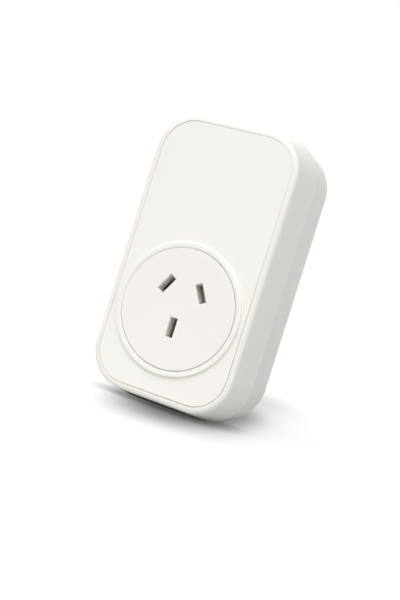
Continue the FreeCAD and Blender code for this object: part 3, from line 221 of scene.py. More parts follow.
# Polyester film: a silvery white, smoother than the case round it
label_film = moulded("polyester_film_matt_silver", "E4E5E4", "DDDEDE",
                     roughness=0.36, grit=0.0003, relief=0.000001)
label_face = -0.00018
label_low = Vector((-0.0167, -0.00028, 0.0243))
label_high = Vector((0.0167, label_face, 0.0457))
label_sheet = rounded_box(label_low, label_high, corner=0.0018, edge=0.00002)
piece("rating_label", [label_sheet], label_film)
# Printing ink: a flat mid grey, in a thin frame and three rules. Nothing is written between them.
label_ink = moulded("label_ink_grey", "9C9EA0", "96989A",
                    roughness=0.4, grit=0.0003, relief=0.000001)


def capsule(start, end, radius, steps=4):
    """Pairs of numbers round a strip with round ends."""
    turn = math.atan2(end[1] - start[1], end[0] - start[0])
    points = []
    for (across, rise), first in ((end, turn - math.pi / 2), (start, turn + math.pi / 2)):
        for step in range(steps + 1):
            angle = first + math.pi * step / steps
            points.append((across + radius * math.cos(angle), rise + radius * math.sin(angle)))
    return points


def slab(outline, levels, axis="y"):
    """An outline drawn out from one level to another along an axis."""
    return skin([[in_space(pair, level, axis) for pair in outline] for level in levels])


def strips(path, width, near, far, axis="y"):
    """Flat strips with round ends along a row of pairs, between two levels along an axis. Each
    lies two thousandths of a millimetre higher than the last, so that no two tops coincide."""
    lift = 0.000002
    shapes = []
    for number, (start, end) in enumerate(zip(path, path[1:])):
        outline = capsule(start, end, width / 2)
        shapes.append(slab(outline, (near, far + lift * number), axis))
    return shapes


ink_face = -0.00015
label_middle = (label_low.z + label_high.z) / 2
frame_wide, frame_tall, frame_corner = 0.031, 0.019, 0.001
frame_thick, rule_thick = 0.0002, 0.00016
frame_line = rounded_outline((0, label_middle), frame_wide, frame_tall, frame_corner, steps=2)
ink = strips(frame_line + frame_line[:1], frame_thick, label_face, ink_face)
for drop in (0.0045, 0.0095, 0.0145):
    height = label_middle + frame_tall / 2 - drop
    rule = [(-frame_wide / 2, height), (frame_wide / 2, height)]
    ink += strips(rule, rule_thick, label_face, ink_face)
piece("label_lines", ink, label_ink)

# Plug base, pins and sleeves: three flat pins pressed through a disc of glass-filled nylon. The
# pins are cold-headed brass with a nickel plate, tumbled until they shine. Sleeves of black
# polyamide are moulded round the two live ones.

# Bare or plated metal is cloudy at about 6 mm, nine clouds to 50 mm. Its edges are broken by
# 0.15 mm, and its gloss swings with the marks on it.
cloud_size = 0.05 / 9
metal_edge = 0.00015
marks_smoother, marks_rougher = 0.05, 0.06


def plated(name, colour, shade, roughness, mark_size, relief, stretch=(1.0, 1.0, 1.0)):
    """Plated or bare metal: cloudy tone, and fine marks. They are drawn out along an axis whose
    number in stretch is below 1."""
    material = new_material(name)
    place = add(material, "ShaderNodeTexCoord")["Object"]
    tone = clouded(material, place, cloud_size, 3.0, colour, shade)[1]
    drawn = add(material, "ShaderNodeMapping", {"Vector": place, "Scale": stretch})[0]
    pattern = {"Vector": drawn, "Scale": 1 / mark_size, "Detail": 4.0}
    marks = add(material, "ShaderNodeTexNoise", pattern)["Fac"]
    smoothest, roughest = roughness - marks_smoother, roughness + marks_rougher
    limits = {"Value": marks, "To Min": smoothest, "To Max": roughest}
    gloss = add(material, "ShaderNodeMapRange", limits)[0]
    inputs = {"Base Color": tone, "Metallic": 1.0, "Roughness": gloss}
    return surfaced(material, marks, relief, metal_edge, inputs)


# Glass-filled nylon: pale grey and duller than the case. The fibres, 0.3 mm long, show as a grit.
base_plastic = moulded("nylon_glass_filled_grey", "C9C7C1", "BDBBB4",
                       roughness=0.58, grit=0.0003, relief=0.00001)
dress(base_plastic, "plug_base")
# Nickel plate on brass: a yellowish silver. Sockets leave scores about 0.05 mm wide along the
# pins, drawn at 0.4 mm so that they show.
pin_metal = plated("brass_nickel_plated_tumbled", "D8D3C6", "CFC9BA",
                   roughness=0.26, mark_size=0.0004, relief=0.000001, stretch=(1.0, 0.12, 1.0))
dress(pin_metal, "pin_active", "pin_neutral", "pin_earth")
# Polyamide sleeve: near black and satin, a little greyer in places
sleeve_plastic = moulded("polyamide_black_moulded", "1E1E20", "29292B",
                         roughness=0.46, grit=0.0003, relief=0.000005)
dress(sleeve_plastic, "sleeve_active", "sleeve_neutral")

# Barrier plate, links and straps: a punched disc of vulcanised fibre parts the pin heads from the
# socket clips. Two brass studs cross it. Tinned copper straps run up to the circuit board and are
# soldered into it.

# Vulcanised fibre: slate grey sheet with a paper-like mottle nearly 1 mm across
fibre = moulded("vulcanised_fibre_punched", "5D6064", "4E5155",
                roughness=0.7, grit=0.0009, relief=0.000015)
dress(fibre, "barrier_plate")
# Tinned copper strip: pale and greyish, with rolling marks along its length, drawn at 0.5 mm
strap_metal = plated("copper_tinned_rolled", "CFCBC2", "B9B2A4",
                     roughness=0.34, mark_size=0.0005, relief=0.000004, stretch=(1.0, 1.0, 0.1))
dress(strap_metal, "input_strap", "neutral_strap", "output_strap")
# Brass turned on a lathe: warm yellow, with the turning marks drawn at 0.3 mm
stud_metal = plated("brass_turned", "C9A968", "B3924F",
                    roughness=0.3, mark_size=0.0003, relief=0.000003)
dress(stud_metal, "neutral_link", "earth_link")

# Socket block and contacts: a round block of white PBT with three wells, one sprung clip in each.
# The clips are pressed from phosphor bronze strip and left bright.

# PBT: a cooler white than the case, a little glossy
block_plastic = moulded("pbt_white_moulded", "E6E4DE", "DEDCD5",
                        roughness=0.4, grit=0.0004, relief=0.000006)
dress(block_plastic, "socket_block")
# Phosphor bronze: reddish gold, with rolling marks along the leaves, drawn at 0.4 mm
clip_metal = plated("phosphor_bronze_pressed", "C08A5A", "A87448",
                    roughness=0.32, mark_size=0.0004, relief=0.000004, stretch=(1.0, 0.15, 1.0))
dress(clip_metal, "contact_active", "contact_neutral", "contact_earth")

# Safety shutter and springs: a sliding gate of acetal with two ramps that the live pins push down.
# Two stainless coil springs of 0.35 mm wire stand under its feet and close it again.


def ring(centre, across, over, radii):
    """Points round a centre in the plane of two directions, with a radius for each."""
    points = []
    for side, radius in enumerate(radii):
        angle = 2 * math.pi * side / len(radii)
        points.append(centre + (across * math.cos(angle) + over * math.sin(angle)) * radius)
    return points


def tube(path, radius, sides=12):
    """Round wire along a path of points, closed at both ends."""
    points = [Vector(point) for point in path]
    last = len(points) - 1
    across = (points[1] - points[0]).orthogonal()
    outlines = []
    for step, point in enumerate(points):
        ahead = (points[min(step + 1, last)] - points[max(step - 1, 0)]).normalized()
        across = (across - ahead * across.dot(ahead)).normalized()
        outlines.append(ring(point, across, ahead.cross(across), [radius] * sides))
    return skin(outlines)


def helix(x, y, low, high, radius, turns, steps=28):
    """Points of a coil about an upright line."""
    count = int(turns * steps)
    points = []
    for step in range(count + 1):
        angle = 2 * math.pi * step / steps
        rise = low + (high - low) * step / count
        points.append((x + radius * math.cos(angle), y + radius * math.sin(angle), rise))
    return points


# Acetal in a stone grey: milky, smooth and a little waxy
gate_plastic = moulded("acetal_stone_moulded", "B5AFA0", "AEA899",
                       roughness=0.36, grit=0.0004, relief=0.000004)
dress(gate_plastic, "safety_shutter")
# Stainless spring wire: bright. Its drawing marks are too fine to show except as a soft gloss.
spring_metal = plated("stainless_spring_wire", "C8C8C6", "B4B4B1",
                      roughness=0.22, mark_size=0.0003, relief=0.000002)
spring_low, spring_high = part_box("shutter_springs")
spring_wire = 0.00035
spring_radius = 0.0013
spring_offset = 0.0045
spring_turns = 5
coil_y = (spring_low.y + spring_high.y) / 2
coil_ends = (spring_low.z + spring_wire / 2, spring_high.z - spring_wire / 2)
coils = []
for side in (-1, 1):
    coil = helix(side * spring_offset, coil_y, *coil_ends, spring_radius, spring_turns)
    coils.append(tube(coil, spring_wire / 2))
springs = piece("spring_coils", coils, spring_metal)
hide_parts("shutter_springs")
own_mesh(springs)

# Socket face: the round front of the outlet, moulded in hard white thermoset. Three slots are
# moulded through it, and it is pushed up into the hole of the front panel from behind.


def painted_depth_shade(material, colour, start, end):
    """Paints shade into a moulded plastic: a darker colour inside its piece, between two depths
    along y.
    """
    shader = next(node for node in material.node_tree.nodes if node.type == "BSDF_PRINCIPLED")
    outer = shader.inputs["Base Color"].links[0].from_socket
    place = add(material, "ShaderNodeTexCoord")["Object"]
    depth = add(material, "ShaderNodeSeparateXYZ", {"Vector": place})["Y"]
    limits = {"Value": depth, "From Min": start, "From Max": end}
    share = add(material, "ShaderNodeMapRange", limits)[0]
    tones = {0: share, 6: outer, 7: linear(colour)}
    inner = add(material, "ShaderNodeMix", tones, data_type="RGBA")[2]
    material.node_tree.links.new(inner, shader.inputs["Base Color"])


# Thermoset: the same white as the panel, a shade cooler and a little smoother. The walls of its
# slots are painted darker and warmer with depth: painted shade deep in the slots.
face_plastic = moulded("thermoset_white_moulded", "F5F1EE", "F3EFEC",
                       roughness=0.38, grit=0.0002, relief=0.000003)
# Painted shade: the slot walls turn darker and warmer with depth
painted_depth_shade(face_plastic, "EDE8DF", start=-0.0349, end=-0.0335)
dress(face_plastic, "socket_face")

# Circuit board: 1.6 mm glass epoxy under a green solder mask, held by three screws. Wide tracks on
# its rear carry the mains, every joint there is soldered, and white print on its front outlines
# the parts.


def turned(profile, foot, along, sides=32):
    """A shape turned about a line, from the radius and height of each ring. Ends are closed. A
    ring that isn't round has a list of radii."""
    along = Vector(along)
    across = along.orthogonal().normalized()
    over = along.cross(across)
    outlines = []
    for radius, height in profile:
        radii = radius if isinstance(radius, list) else [radius] * sides
        outlines.append(ring(Vector(foot) + along * height, across, over, radii))
    return skin(outlines)


def hoop(outline, sections):
    """A closed band round an outline in the front plane. Each point of the outline has a section
    of pairs of outward reach and depth."""
    count, sides = len(outline), len(sections[0])
    vertices, faces = [], []
    for step, ((x, z), section) in enumerate(zip(outline, sections)):
        before, after = outline[step - 1], outline[(step + 1) % count]
        ahead = Vector((after[0] - before[0], after[1] - before[1])).normalized()
        vertices += [(x + ahead[1] * out, depth, z - ahead[0] * out) for out, depth in section]
        here, there = step * sides, (step + 1) % count * sides
        for side in range(sides):
            beside = (side + 1) % sides
            faces.append([here + side, here + beside, there + beside, there + side])
    return vertices, faces


# Solder mask: glossy green lacquer over the weave of the glass cloth, about 0.6 mm to a thread
mask = moulded("epoxy_glass_green_lacquer", "1F5B3A", "1A5033",
               roughness=0.3, grit=0.0006, relief=0.00001)
dress(mask, "main_board")
board_low, board_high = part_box("main_board")
# Solder: bright tin with a faint frost where it set. The joints of each part are on the rear.
solder = plated("tin_solder_set", "C9CACB", "B7B9BA",
                roughness=0.28, mark_size=0.0004, relief=0.000003)
strap_joints = [(-0.0069, 0.0196), (0.0069, 0.0196), (-0.0135, 0.019)]
relay_joints = [(-0.0115, 0.0245), (-0.0015, 0.0245)]
relay_joints += [(-0.0115, 0.0485), (-0.0065, 0.0485), (-0.0015, 0.0485)]
film_joints = [(-0.0195, 0.0264), (-0.0195, 0.0363)]
can_joints = [(0.0067, 0.029), (0.0117, 0.029)]
varistor_joints = [(0.0186, 0.0281), (0.0186, 0.0331)]
fuse_joints = [(0.0204, 0.037), (0.0204, 0.046)]
transformer_joints = [(0.005, 0.0362), (0.01, 0.0362), (0.015, 0.0362)]
transformer_joints += [(0.005, 0.0456), (0.015, 0.0456)]
switch_joints = [(x, z) for x in (-0.0222, -0.0195) for z in (0.0402, 0.0438)]
joint_spots = strap_joints + relay_joints + film_joints + can_joints
joint_spots += varistor_joints + fuse_joints + transformer_joints + switch_joints
joint_profile = [(0.0012, 0), (0.0008, 0.0002), (0.0005, 0.0007), (0.0003, 0.0011)]
joint_profile.append((0.0001, 0.0012))
joints = [turned(joint_profile, (x, board_high.y, z), (0, 1, 0), sides=16) for x, z in joint_spots]
piece("solder_joints", joints, solder)
# Tracks: copper under the same lacquer, so a lighter green that stands a hair proud. Those of the
# mains are up to 3 mm wide. Each lies 0.01 mm higher than the last, so that no tops coincide.
track_lacquer = moulded("copper_track_under_lacquer", "3B7F4E", "347447",
                        roughness=0.28, grit=0.0006, relief=0.000004)
track_thick, track_lift = 0.00004, 0.00001
track_paths = [
    (0.003, [strap_joints[0], (-0.0069, 0.022), relay_joints[0]]),
    (0.003, [strap_joints[2], (-0.0165, 0.022), (-0.0165, 0.0435), relay_joints[2]]),
    (0.0024, [strap_joints[1], (0.0155, 0.0196), (0.0186, 0.0227), varistor_joints[0]]),
    (0.0016, [varistor_joints[1], (0.0204, 0.0349), fuse_joints[0]]),
    (0.0016, [fuse_joints[1], (0.0185, 0.0479), (0.0173, 0.0479), transformer_joints[4]]),
    (0.0016, [film_joints[0], (-0.0195, 0.0225), (-0.0165, 0.022)]),
    (0.0008, [can_joints[0], (0.005, 0.0307), transformer_joints[0]]),
    (0.0008, [can_joints[1], (0.015, 0.0323), transformer_joints[2]]),
    (0.0006, [switch_joints[3], (-0.0195, 0.0475), (-0.0157, 0.0513), (0.004, 0.0513)]),
    (0.0006, [relay_joints[4], (0.0015, 0.0515)]),
]
tracks = []
for number, (width, path) in enumerate(track_paths):
    tracks += strips(path, width, board_high.y, board_high.y + track_thick + track_lift * number)
piece("board_tracks", tracks, track_lacquer)
# Screen print: flat matt white, in a line round the foot of each part
print_ink = moulded("screen_print_white", "E9E9E4", "E2E2DC",
                    roughness=0.6, grit=0.0003, relief=0.000001)
print_half, print_thick, print_gap = 0.0001, 0.00003, 0.0005
square_corner, round_corner = 0.0003, 0.0055
board_face, print_face = board_low.y, board_low.y - print_thick
print_section = [(-print_half, board_face), (print_half, board_face)]
print_section += [(print_half, print_face), (-print_half, print_face)]
prints = []
for name, corner in [
    ("relay_cover", square_corner), ("film_capacitor", square_corner),
    ("transformer_bobbin", square_corner), ("varistor", square_corner),
    ("fuse_resistor", square_corner), ("switch_body", square_corner),
    ("bulk_capacitor", round_corner),
]:
    low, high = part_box(name)
    middle = ((low.x + high.x) / 2, (low.z + high.z) / 2)
    width, height = high.x - low.x + 2 * print_gap, high.z - low.z + 2 * print_gap
    outline = rounded_outline(middle, width, height, corner, steps=8)
    prints.append(hoop(outline, [print_section] * len(outline)))
piece("board_print", prints, print_ink)

# Relay: a sealed box of blue PBT over a copper coil, an iron yoke and a hinged armature. The
# armature's leaf carries a silver contact to the fixed one when the coil is live.

# PBT cover from a polished tool: deep blue and glossy
relay_plastic = moulded("pbt_blue_moulded", "1E3F86", "1B3A7C",
                        roughness=0.3, grit=0.0004, relief=0.000004)
dress(relay_plastic, "relay_cover", "relay_base")
# Nylon without pigment: cream, and slightly glassy at its edges
bobbin_plastic = moulded("nylon_natural_moulded", "D9D4C4", "CFC9B8",
                         roughness=0.45, grit=0.0004, relief=0.000006)
dress(bobbin_plastic, "relay_bobbin")
# Enamelled copper wire: a reddish brown that shines along each turn. The wire is 0.1 mm thick, and
# the turns are drawn at 0.4 mm so that they show.
enamel = plated("copper_wire_enamelled", "B8703C", "A25F30",
                roughness=0.3, mark_size=0.0003, relief=0.000002)
coil_low, coil_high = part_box("relay_coil")
coil_radius = (coil_high.x - coil_low.x) / 2
coil_height = coil_high.z - coil_low.z
wire_pitch = 0.0004
wire_valley = coil_radius - 0.00012
turn_profile = []
for step in range(int(coil_height / wire_pitch)):
    turn_profile.append((wire_valley, step * wire_pitch))
    turn_profile.append((coil_radius, (step + 0.5) * wire_pitch))
turn_profile.append((wire_valley, coil_height))
coil_foot = ((coil_low.x + coil_high.x) / 2, (coil_low.y + coil_high.y) / 2, coil_low.z)
winding = piece("relay_winding", [turned(turn_profile, coil_foot, (0, 0, 1))], enamel, angle=80)
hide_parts("relay_coil")
# Soft iron with a thin zinc plate: bluish grey, brushed along its length
iron = plated("soft_iron_zinc_plated", "BFC1C1", "A9ACAD",
              roughness=0.35, mark_size=0.0005, relief=0.000004, stretch=(1.0, 1.0, 0.2))
dress(iron, "relay_core", "relay_yoke", "relay_armature")
# Copper alloy leaf: pinkish yellow, rolled lengthwise
leaf_metal = plated("copper_alloy_rolled", "C79A63", "B0854F",
                    roughness=0.3, mark_size=0.0004, relief=0.000003, stretch=(1.0, 1.0, 0.2))
dress(leaf_metal, "relay_contact_spring", "relay_fixed_contact")

# Transformer: a ferrite core glued round a phenolic bobbin, with its winding under yellow
# polyester tape. It stands on the board on its own foot.

# Ferrite: dark grey and dull, ground at the joint
ferrite = moulded("ferrite_ground", "3A3B3D", "303133",
                  roughness=0.6, grit=0.0005, relief=0.00001)
dress(ferrite, "transformer_core")
# Phenolic: cream, with a grain of wood flour about 0.5 mm across
phenolic = moulded("phenolic_cream_moulded", "D8CFA8", "CEC49B",
                   roughness=0.5, grit=0.0005, relief=0.00001)
spool_low, spool_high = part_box("transformer_bobbin")
foot_thick = 0.0012
seat = spool_high.y - foot_thick
leg = 0.0017
flange = 0.0008
foot_low = (spool_low.x, seat, spool_low.z)
spool = [rounded_box(foot_low, spool_high, corner=0.0006, edge=0.0002)]
for low_end in (spool_low.z, spool_high.z - flange):
    low = (spool_low.x + leg, spool_low.y, low_end)
    high = (spool_high.x - leg, seat, low_end + flange)
    spool.append(rounded_box(low, high, corner=0.0005, edge=0.0001, axis="z"))
spool_piece = piece("transformer_spool", spool, phenolic)
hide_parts("transformer_bobbin")
# Polyester tape: a clear yellow with a soft gloss, creased a little over the wire
tape = moulded("polyester_tape_yellow", "D8B23A", "CDA52F",
               roughness=0.3, grit=0.002, relief=0.00003)
tape_inset = 0.0004
tape_low = (spool_low.x + leg + tape_inset, spool_low.y + tape_inset, spool_low.z + flange)
tape_high = (spool_high.x - leg - tape_inset, seat - tape_inset / 2, spool_high.z - flange)
wrap = rounded_box(tape_low, tape_high, corner=0.0014, edge=0.0001, axis="z")
piece("transformer_tape", [wrap], tape)

# Board parts: a film capacitor, an electrolytic capacitor, a varistor, a fusible resistor and the
# radio module under its tinned can. Their leads pass through the board and are soldered.

# PBT box of the film capacitor: warm yellow, satin
film_box = moulded("pbt_yellow_moulded", "D9B23C", "CFA834",
                   roughness=0.38, grit=0.0004, relief=0.000006)
dress(film_box, "film_capacitor")
# PVC sleeve, shrunk over the can: near black and glossy. From the board up it has a round foot, a
# crimp, and a shoulder that curls in over the can's end.
shrink = moulded("pvc_sleeve_black_shrunk", "20242C", "282C35",
                 roughness=0.35, grit=0.0005, relief=0.000008)
can_low, can_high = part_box("bulk_capacitor")
can_radius = (can_high.x - can_low.x) / 2
can_height = can_high.y - can_low.y
can_foot = ((can_low.x + can_high.x) / 2, can_high.y, (can_low.z + can_high.z) / 2)
neck = can_radius - 0.0003
shoulder = can_radius - 0.0002
sleeve_profile = [
    (neck, 0), (can_radius, 0.0003), (can_radius, 0.0016), (neck, 0.002), (neck, 0.0023),
    (can_radius, 0.0027), (can_radius, can_height - 0.0006), (shoulder, can_height - 0.0002),
    (can_radius - 0.0006, can_height), (can_radius - 0.0009, can_height - 0.0001),
]
can_sleeve = turned(sleeve_profile, can_foot, (0, -1, 0), sides=48)
sleeve = piece("capacitor_sleeve", [can_sleeve], shrink)
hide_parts("bulk_capacitor")
# Pale grey ink: a stripe down the sleeve's minus side, 40 degrees wide
stripe_ink = moulded("sleeve_stripe_grey", "A9ADB3", "9FA3AA",
                     roughness=0.4, grit=0.0005, relief=0.000004)
stripe_angles = [math.radians(angle) for angle in (-20, -10, 0, 10, 20)]
stripe_outer, stripe_inner = can_radius + 0.00003, can_radius - 0.0001
stripe_outline = [
    (can_foot[0] + reach * math.cos(angle), can_foot[2] + reach * math.sin(angle))
    for reach, angles in ((stripe_outer, stripe_angles), (stripe_inner, stripe_angles[::-1]))
    for angle in angles
]
stripe_ends = (can_foot[1] - 0.003, can_foot[1] - can_height + 0.001)
stripe = slab(stripe_outline, stripe_ends)
piece("capacitor_stripe", [stripe], stripe_ink)


def cross_radii(arm, half_width, sides=48):
    """Radius at each side of a ring that has the outline of a cross. Straight along an arm, where
    the sine is 0, a small number keeps the division going."""
    small = 0.01
    radii = []
    for side in range(sides):
        off = (2 * math.pi * side / sides + math.pi / 4) % (math.pi / 2) - math.pi / 4
        radii.append(min(arm, half_width / max(abs(math.sin(off)), small)))
    return radii


# Drawn aluminium: the bare end of the can, matt silver, with a scored cross that opens as a vent
drawn_can = plated("aluminium_drawn", "C6C8CA", "B8BABD",
                   roughness=0.4, mark_size=0.0004, relief=0.000002)
end_radius = can_radius - 0.0008
end_level = can_height - 0.00008
end_profile = [
    (end_radius, can_height - 0.0005), (end_radius, end_level),
    (cross_radii(0.0034, 0.0003), end_level), (cross_radii(0.0033, 0.0001), can_height - 0.0003),
]
can_end = turned(end_profile, can_foot, (0, -1, 0), sides=48)
piece("capacitor_end", [can_end], drawn_can)
# Epoxy dip: a blue coat that pulls in at the rim, a little uneven. The profile of one half is in
# shares of the disc's radius and thickness.
epoxy_blue = moulded("epoxy_blue_dipped", "2C5FA6", "27559A",
                     roughness=0.35, grit=0.0008, relief=0.00002)
disc_low, disc_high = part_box("varistor")
disc_radius = (disc_high.z - disc_low.z) / 2
disc_thick = disc_high.x - disc_low.x
disc_foot = (disc_low.x, disc_low.y + disc_radius, disc_low.z + disc_radius)
half_profile = [(0.6, 0.0), (0.85, 0.05), (0.95, 0.16), (0.99, 0.3)]
disc_profile = [(disc_radius * reach, disc_thick * deep) for reach, deep in half_profile]
disc_profile.append((disc_radius, disc_thick / 2))
for reach, deep in half_profile[::-1]:
    disc_profile.append((disc_radius * reach, disc_thick * (1 - deep)))
disc = piece("varistor_disc", [turned(disc_profile, disc_foot, (1, 0, 0), sides=48)], epoxy_blue)
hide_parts("varistor")
# Cement paint: a matt beige body, thicker over its end caps
cement = moulded("cement_paint_beige", "BFAE86", "B3A27A",
                 roughness=0.5, grit=0.0005, relief=0.00001)
body_low, body_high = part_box("fuse_resistor")
body_radius = (body_high.x - body_low.x) / 2
body_length = 0.007
body_start = (body_low.z + body_high.z - body_length) / 2
body_foot = Vector((body_low.x + body_radius, body_low.y + body_radius, body_start))
cap_radius, waist_radius, tip_radius = 0.0018, 0.00155, 0.0015
body_profile = [
    (tip_radius, 0), (cap_radius, 0.0003), (cap_radius, 0.0012), (waist_radius, 0.0016),
    (waist_radius, 0.0054), (cap_radius, 0.0058), (cap_radius, 0.0067), (tip_radius, body_length),
]
resistor = piece("resistor_body", [turned(body_profile, body_foot, (0, 0, 1))], cement)
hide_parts("fuse_resistor")
# Brown paint: satin, in three rings that stand just proud of the body
ring_paint = moulded("ring_paint_brown", "5B3A26", "523321",
                     roughness=0.45, grit=0.0004, relief=0.000004)
band_radius, band_wide = 0.00158, 0.0005
bands = []
for level in (0.0021, 0.003, 0.0043):
    band_profile = [(band_radius, level), (band_radius, level + band_wide)]
    bands.append(turned(band_profile, body_foot, (0, 0, 1)))
piece("resistor_bands", bands, ring_paint)
# Tinned copper wire, 0.8 mm thick and as bright as the solder: straight from the varistor's rim,
# and bent at the resistor's ends
lead_radius = 0.0004
leads = []
for shift in (-0.0025, 0.0025):
    root = Vector((disc_foot[0] + disc_thick / 2, disc_high.y, disc_foot[2] + shift))
    straight = [root + Vector((0, -reach, 0)) for reach in (0, 0.0012, 0.003)]
    leads.append(tube(straight, lead_radius))
bend = [(0, 0), (0.0006, 0), (0.0009, 0.0001), (0.001, 0.0004), (0.001, body_radius)]
for end, way in ((body_foot.z, -1), (body_foot.z + body_length, 1)):
    bent = [(body_foot.x, body_foot.y + down, end + way * out) for out, down in bend]
    leads.append(tube(bent, lead_radius))
piece("part_leads", leads, solder)
# Solder mask of the radio module: near black and glossy
radio_mask = moulded("epoxy_glass_black_lacquer", "15181B", "1B1F22",
                     roughness=0.3, grit=0.0005, relief=0.000008)
dress(radio_mask, "radio_module")
# Gold flash on copper: a warm yellow shine. The aerial is a track of it, folded to and fro along
# the module's free edge.
aerial_metal = plated("copper_gold_flashed", "D1AE62", "C5A055",
                      roughness=0.3, mark_size=0.0004, relief=0.000001)
radio_low, radio_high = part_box("radio_module")
aerial_wide, aerial_thick = 0.0004, 0.00004
fold_ends = (radio_low.y + 0.0006, radio_low.y + 0.0028)
fold_start, fold_pitch, folds = 0.001, 0.0014, 10
aerial = []
for fold in range(folds):
    x = radio_low.x + fold_start + fold_pitch * fold
    aerial += [(x, end) for end in (fold_ends if fold % 2 else fold_ends[::-1])]
aerial_strips = strips(aerial, aerial_wide, radio_high.z, radio_high.z + aerial_thick, axis="z")
piece("radio_aerial", aerial_strips, aerial_metal)
# The module stands on its edge, and a row of joints ties it to the board
radio_joint_count, radio_joint_pitch, radio_joint_gap = 9, 0.0015, 0.0003
radio_joint_profile = [(0.0005, 0), (0.0003, 0.0003), (0.0002, 0.0009)]
radio_joints = []
for number in range(radio_joint_count):
    across = radio_low.x + radio_joint_pitch + radio_joint_pitch * number
    spot = (across, board_low.y, radio_high.z + radio_joint_gap)
    radio_joints.append(turned(radio_joint_profile, spot, (0, -1, 0), sides=12))
piece("radio_joints", radio_joints, solder)
# Nickel silver can, pressed: a soft grey shine
can_metal = plated("nickel_silver_pressed", "C9C7C1", "B8B6B0",
                   roughness=0.3, mark_size=0.0004, relief=0.000003)
dress(can_metal, "shield_can")

# Pairing button and switch: a round ABS cap in the left side wall, with a flange that holds it in
# and a stem that pushes the plunger of a small switch on the board.

# ABS: a slightly greyer white than the case, so that it is found
button_plastic = moulded("abs_grey_white_moulded", "DEDBD5", "D8D5CF",
                         roughness=0.4, grit=0.00025, relief=0.000004)
dress(button_plastic, "pairing_button")
# Black nylon: satin
switch_plastic = moulded("nylon_black_moulded", "1C1D1F", "242527",
                         roughness=0.4, grit=0.0004, relief=0.000006)
dress(switch_plastic, "switch_body", "switch_plunger")

# Front cover: the shallow half of the case, in the same white polycarbonate, with a rolled rim
# round a recess for the panel. It drops over the lip of the rear housing.
dress(shell_plastic, "front_cover")

# Front panel: a thin moulded plate with a raised ring, pressed into the recess on four pegs. A
# thin white bead in the groove round it, and in the seam round the outlet, keeps dust out.

# Polycarbonate with a fine matt: it stays even where the case shows soft highlights
panel_plastic = moulded("polycarbonate_white_fine_matt", "F6F3EF", "F4F1EC",
                        roughness=0.5, grit=0.0002, relief=0.000003)
dress(panel_plastic, "fascia_panel")
# Silicone: the same white, matt and slightly soft at its edges
silicone = moulded("silicone_white_drawn", "F4F1EC", "F1EEE9",
                   roughness=0.6, grit=0.0003, relief=0.000002)
groove_size, groove_corner, groove_middle = (0.0513, 0.0975), 0.0123, 0.01425
groove_line = rounded_outline((0, groove_middle), *groove_size, groove_corner, steps=24)
seam_radius, seam_middle = 0.0219, -0.0035
seam_size = (2 * seam_radius, 2 * seam_radius)
seam_line = rounded_outline((0, seam_middle), *seam_size, seam_radius, steps=32)


def bead_section(half_width, top, bottom):
    """Section of a bead with a crowned top."""
    crown = half_width / 3
    left = [(-half_width, bottom), (-half_width, top + crown), (-half_width / 2, top)]
    return left + [(-out, depth) for out, depth in left[::-1]]


# Both beads lie deeper towards the lower right, where the groove and the seam show as fine lines
bead_bottom = -0.0332
beads = []
for line, middle, half_width, shallow, deep in [
    (groove_line, groove_middle, 0.00012, -0.0342, -0.0334),
    (seam_line, seam_middle, 0.000095, -0.03498, -0.0334),
]:
    sections = []
    for x, z in line:
        share = (1 + math.cos(math.atan2(z - middle, x) + math.radians(45))) / 2
        top = shallow + (deep - shallow) * share
        sections.append(bead_section(half_width, top, bead_bottom))
    beads.append(hoop(line, sections))
piece("panel_seals", beads, silicone, angle=80)

# Screws: zinc-plated steel with pan heads and cross recesses. Four long ones close the case from
# the rear, three hold the board and two the socket block.

# Zinc plate: a cool silver with a faint cloud
screw_metal = plated("steel_zinc_plated", "C3C5C6", "AEB1B3",
                     roughness=0.3, mark_size=0.0004, relief=0.000003)
thread_pitch, thread_depth = 0.0009, 0.0002
turn_rings, round_sides = 4, 48
# Profile of a pan head from its seat up, in shares of its radius and height
pan_profile = [(0.96, 0), (1, 0.15), (1, 0.45), (0.92, 0.8), (0.75, 1)]


def screw(x, z, tip, seat, wide, tall, shank):
    """A screw along y from its tip to the seat of its head. The head's radius and height are wide
    and tall, and shank is the radius over the threads."""
    length = abs(seat - tip)
    rings = [(shank * 0.2, 0), (shank * 0.7, thread_pitch * 0.7)]
    for step in range(turn_rings, int(length / thread_pitch * turn_rings) - 1):
        threads = [(step / turn_rings - side / round_sides) % 1 for side in range(round_sides)]
        radii = [shank - thread_depth * abs(thread * 2 - 1) for thread in threads]
        rings.append((radii, step * thread_pitch / turn_rings))
    rings.append((shank * 0.85, length))
    rings += [(wide * reach, length + tall * rise) for reach, rise in pan_profile]
    rings.append((cross_radii(wide * 0.58, wide * 0.13), length + tall))
    rings.append((cross_radii(wide * 0.4, wide * 0.07), length + tall * 0.25))
    return turned(rings, (x, tip, z), (0, math.copysign(1, seat - tip), 0), round_sides)


large_head = {"wide": 0.0026, "tall": 0.0016, "shank": 0.00125}
small_head = {"wide": 0.0022, "tall": 0.0014, "shank": 0.0011}
case_spots = [(x, z) for z in (0.05838, -0.02988) for x in (-0.02103, 0.02103)]
board_spots = [(-0.0205, 0.021), (0.0205, 0.021), (0.0, 0.0595)]
block_spots = [(-0.0188, -0.002), (0.0188, -0.002)]
for name, node, spots, tip, seat, sizes in [
    ("case_screw_set", "case_screws", case_spots, -0.0268, -0.008, large_head),
    ("board_screw_set", "board_screws", board_spots, -0.0034, -0.0086, small_head),
    ("block_screw_set", "block_screws", block_spots, -0.0088, -0.0154, small_head),
]:
    screws = piece(name, [screw(x, z, tip, seat, **sizes) for x, z in spots], screw_metal)
    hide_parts(node)
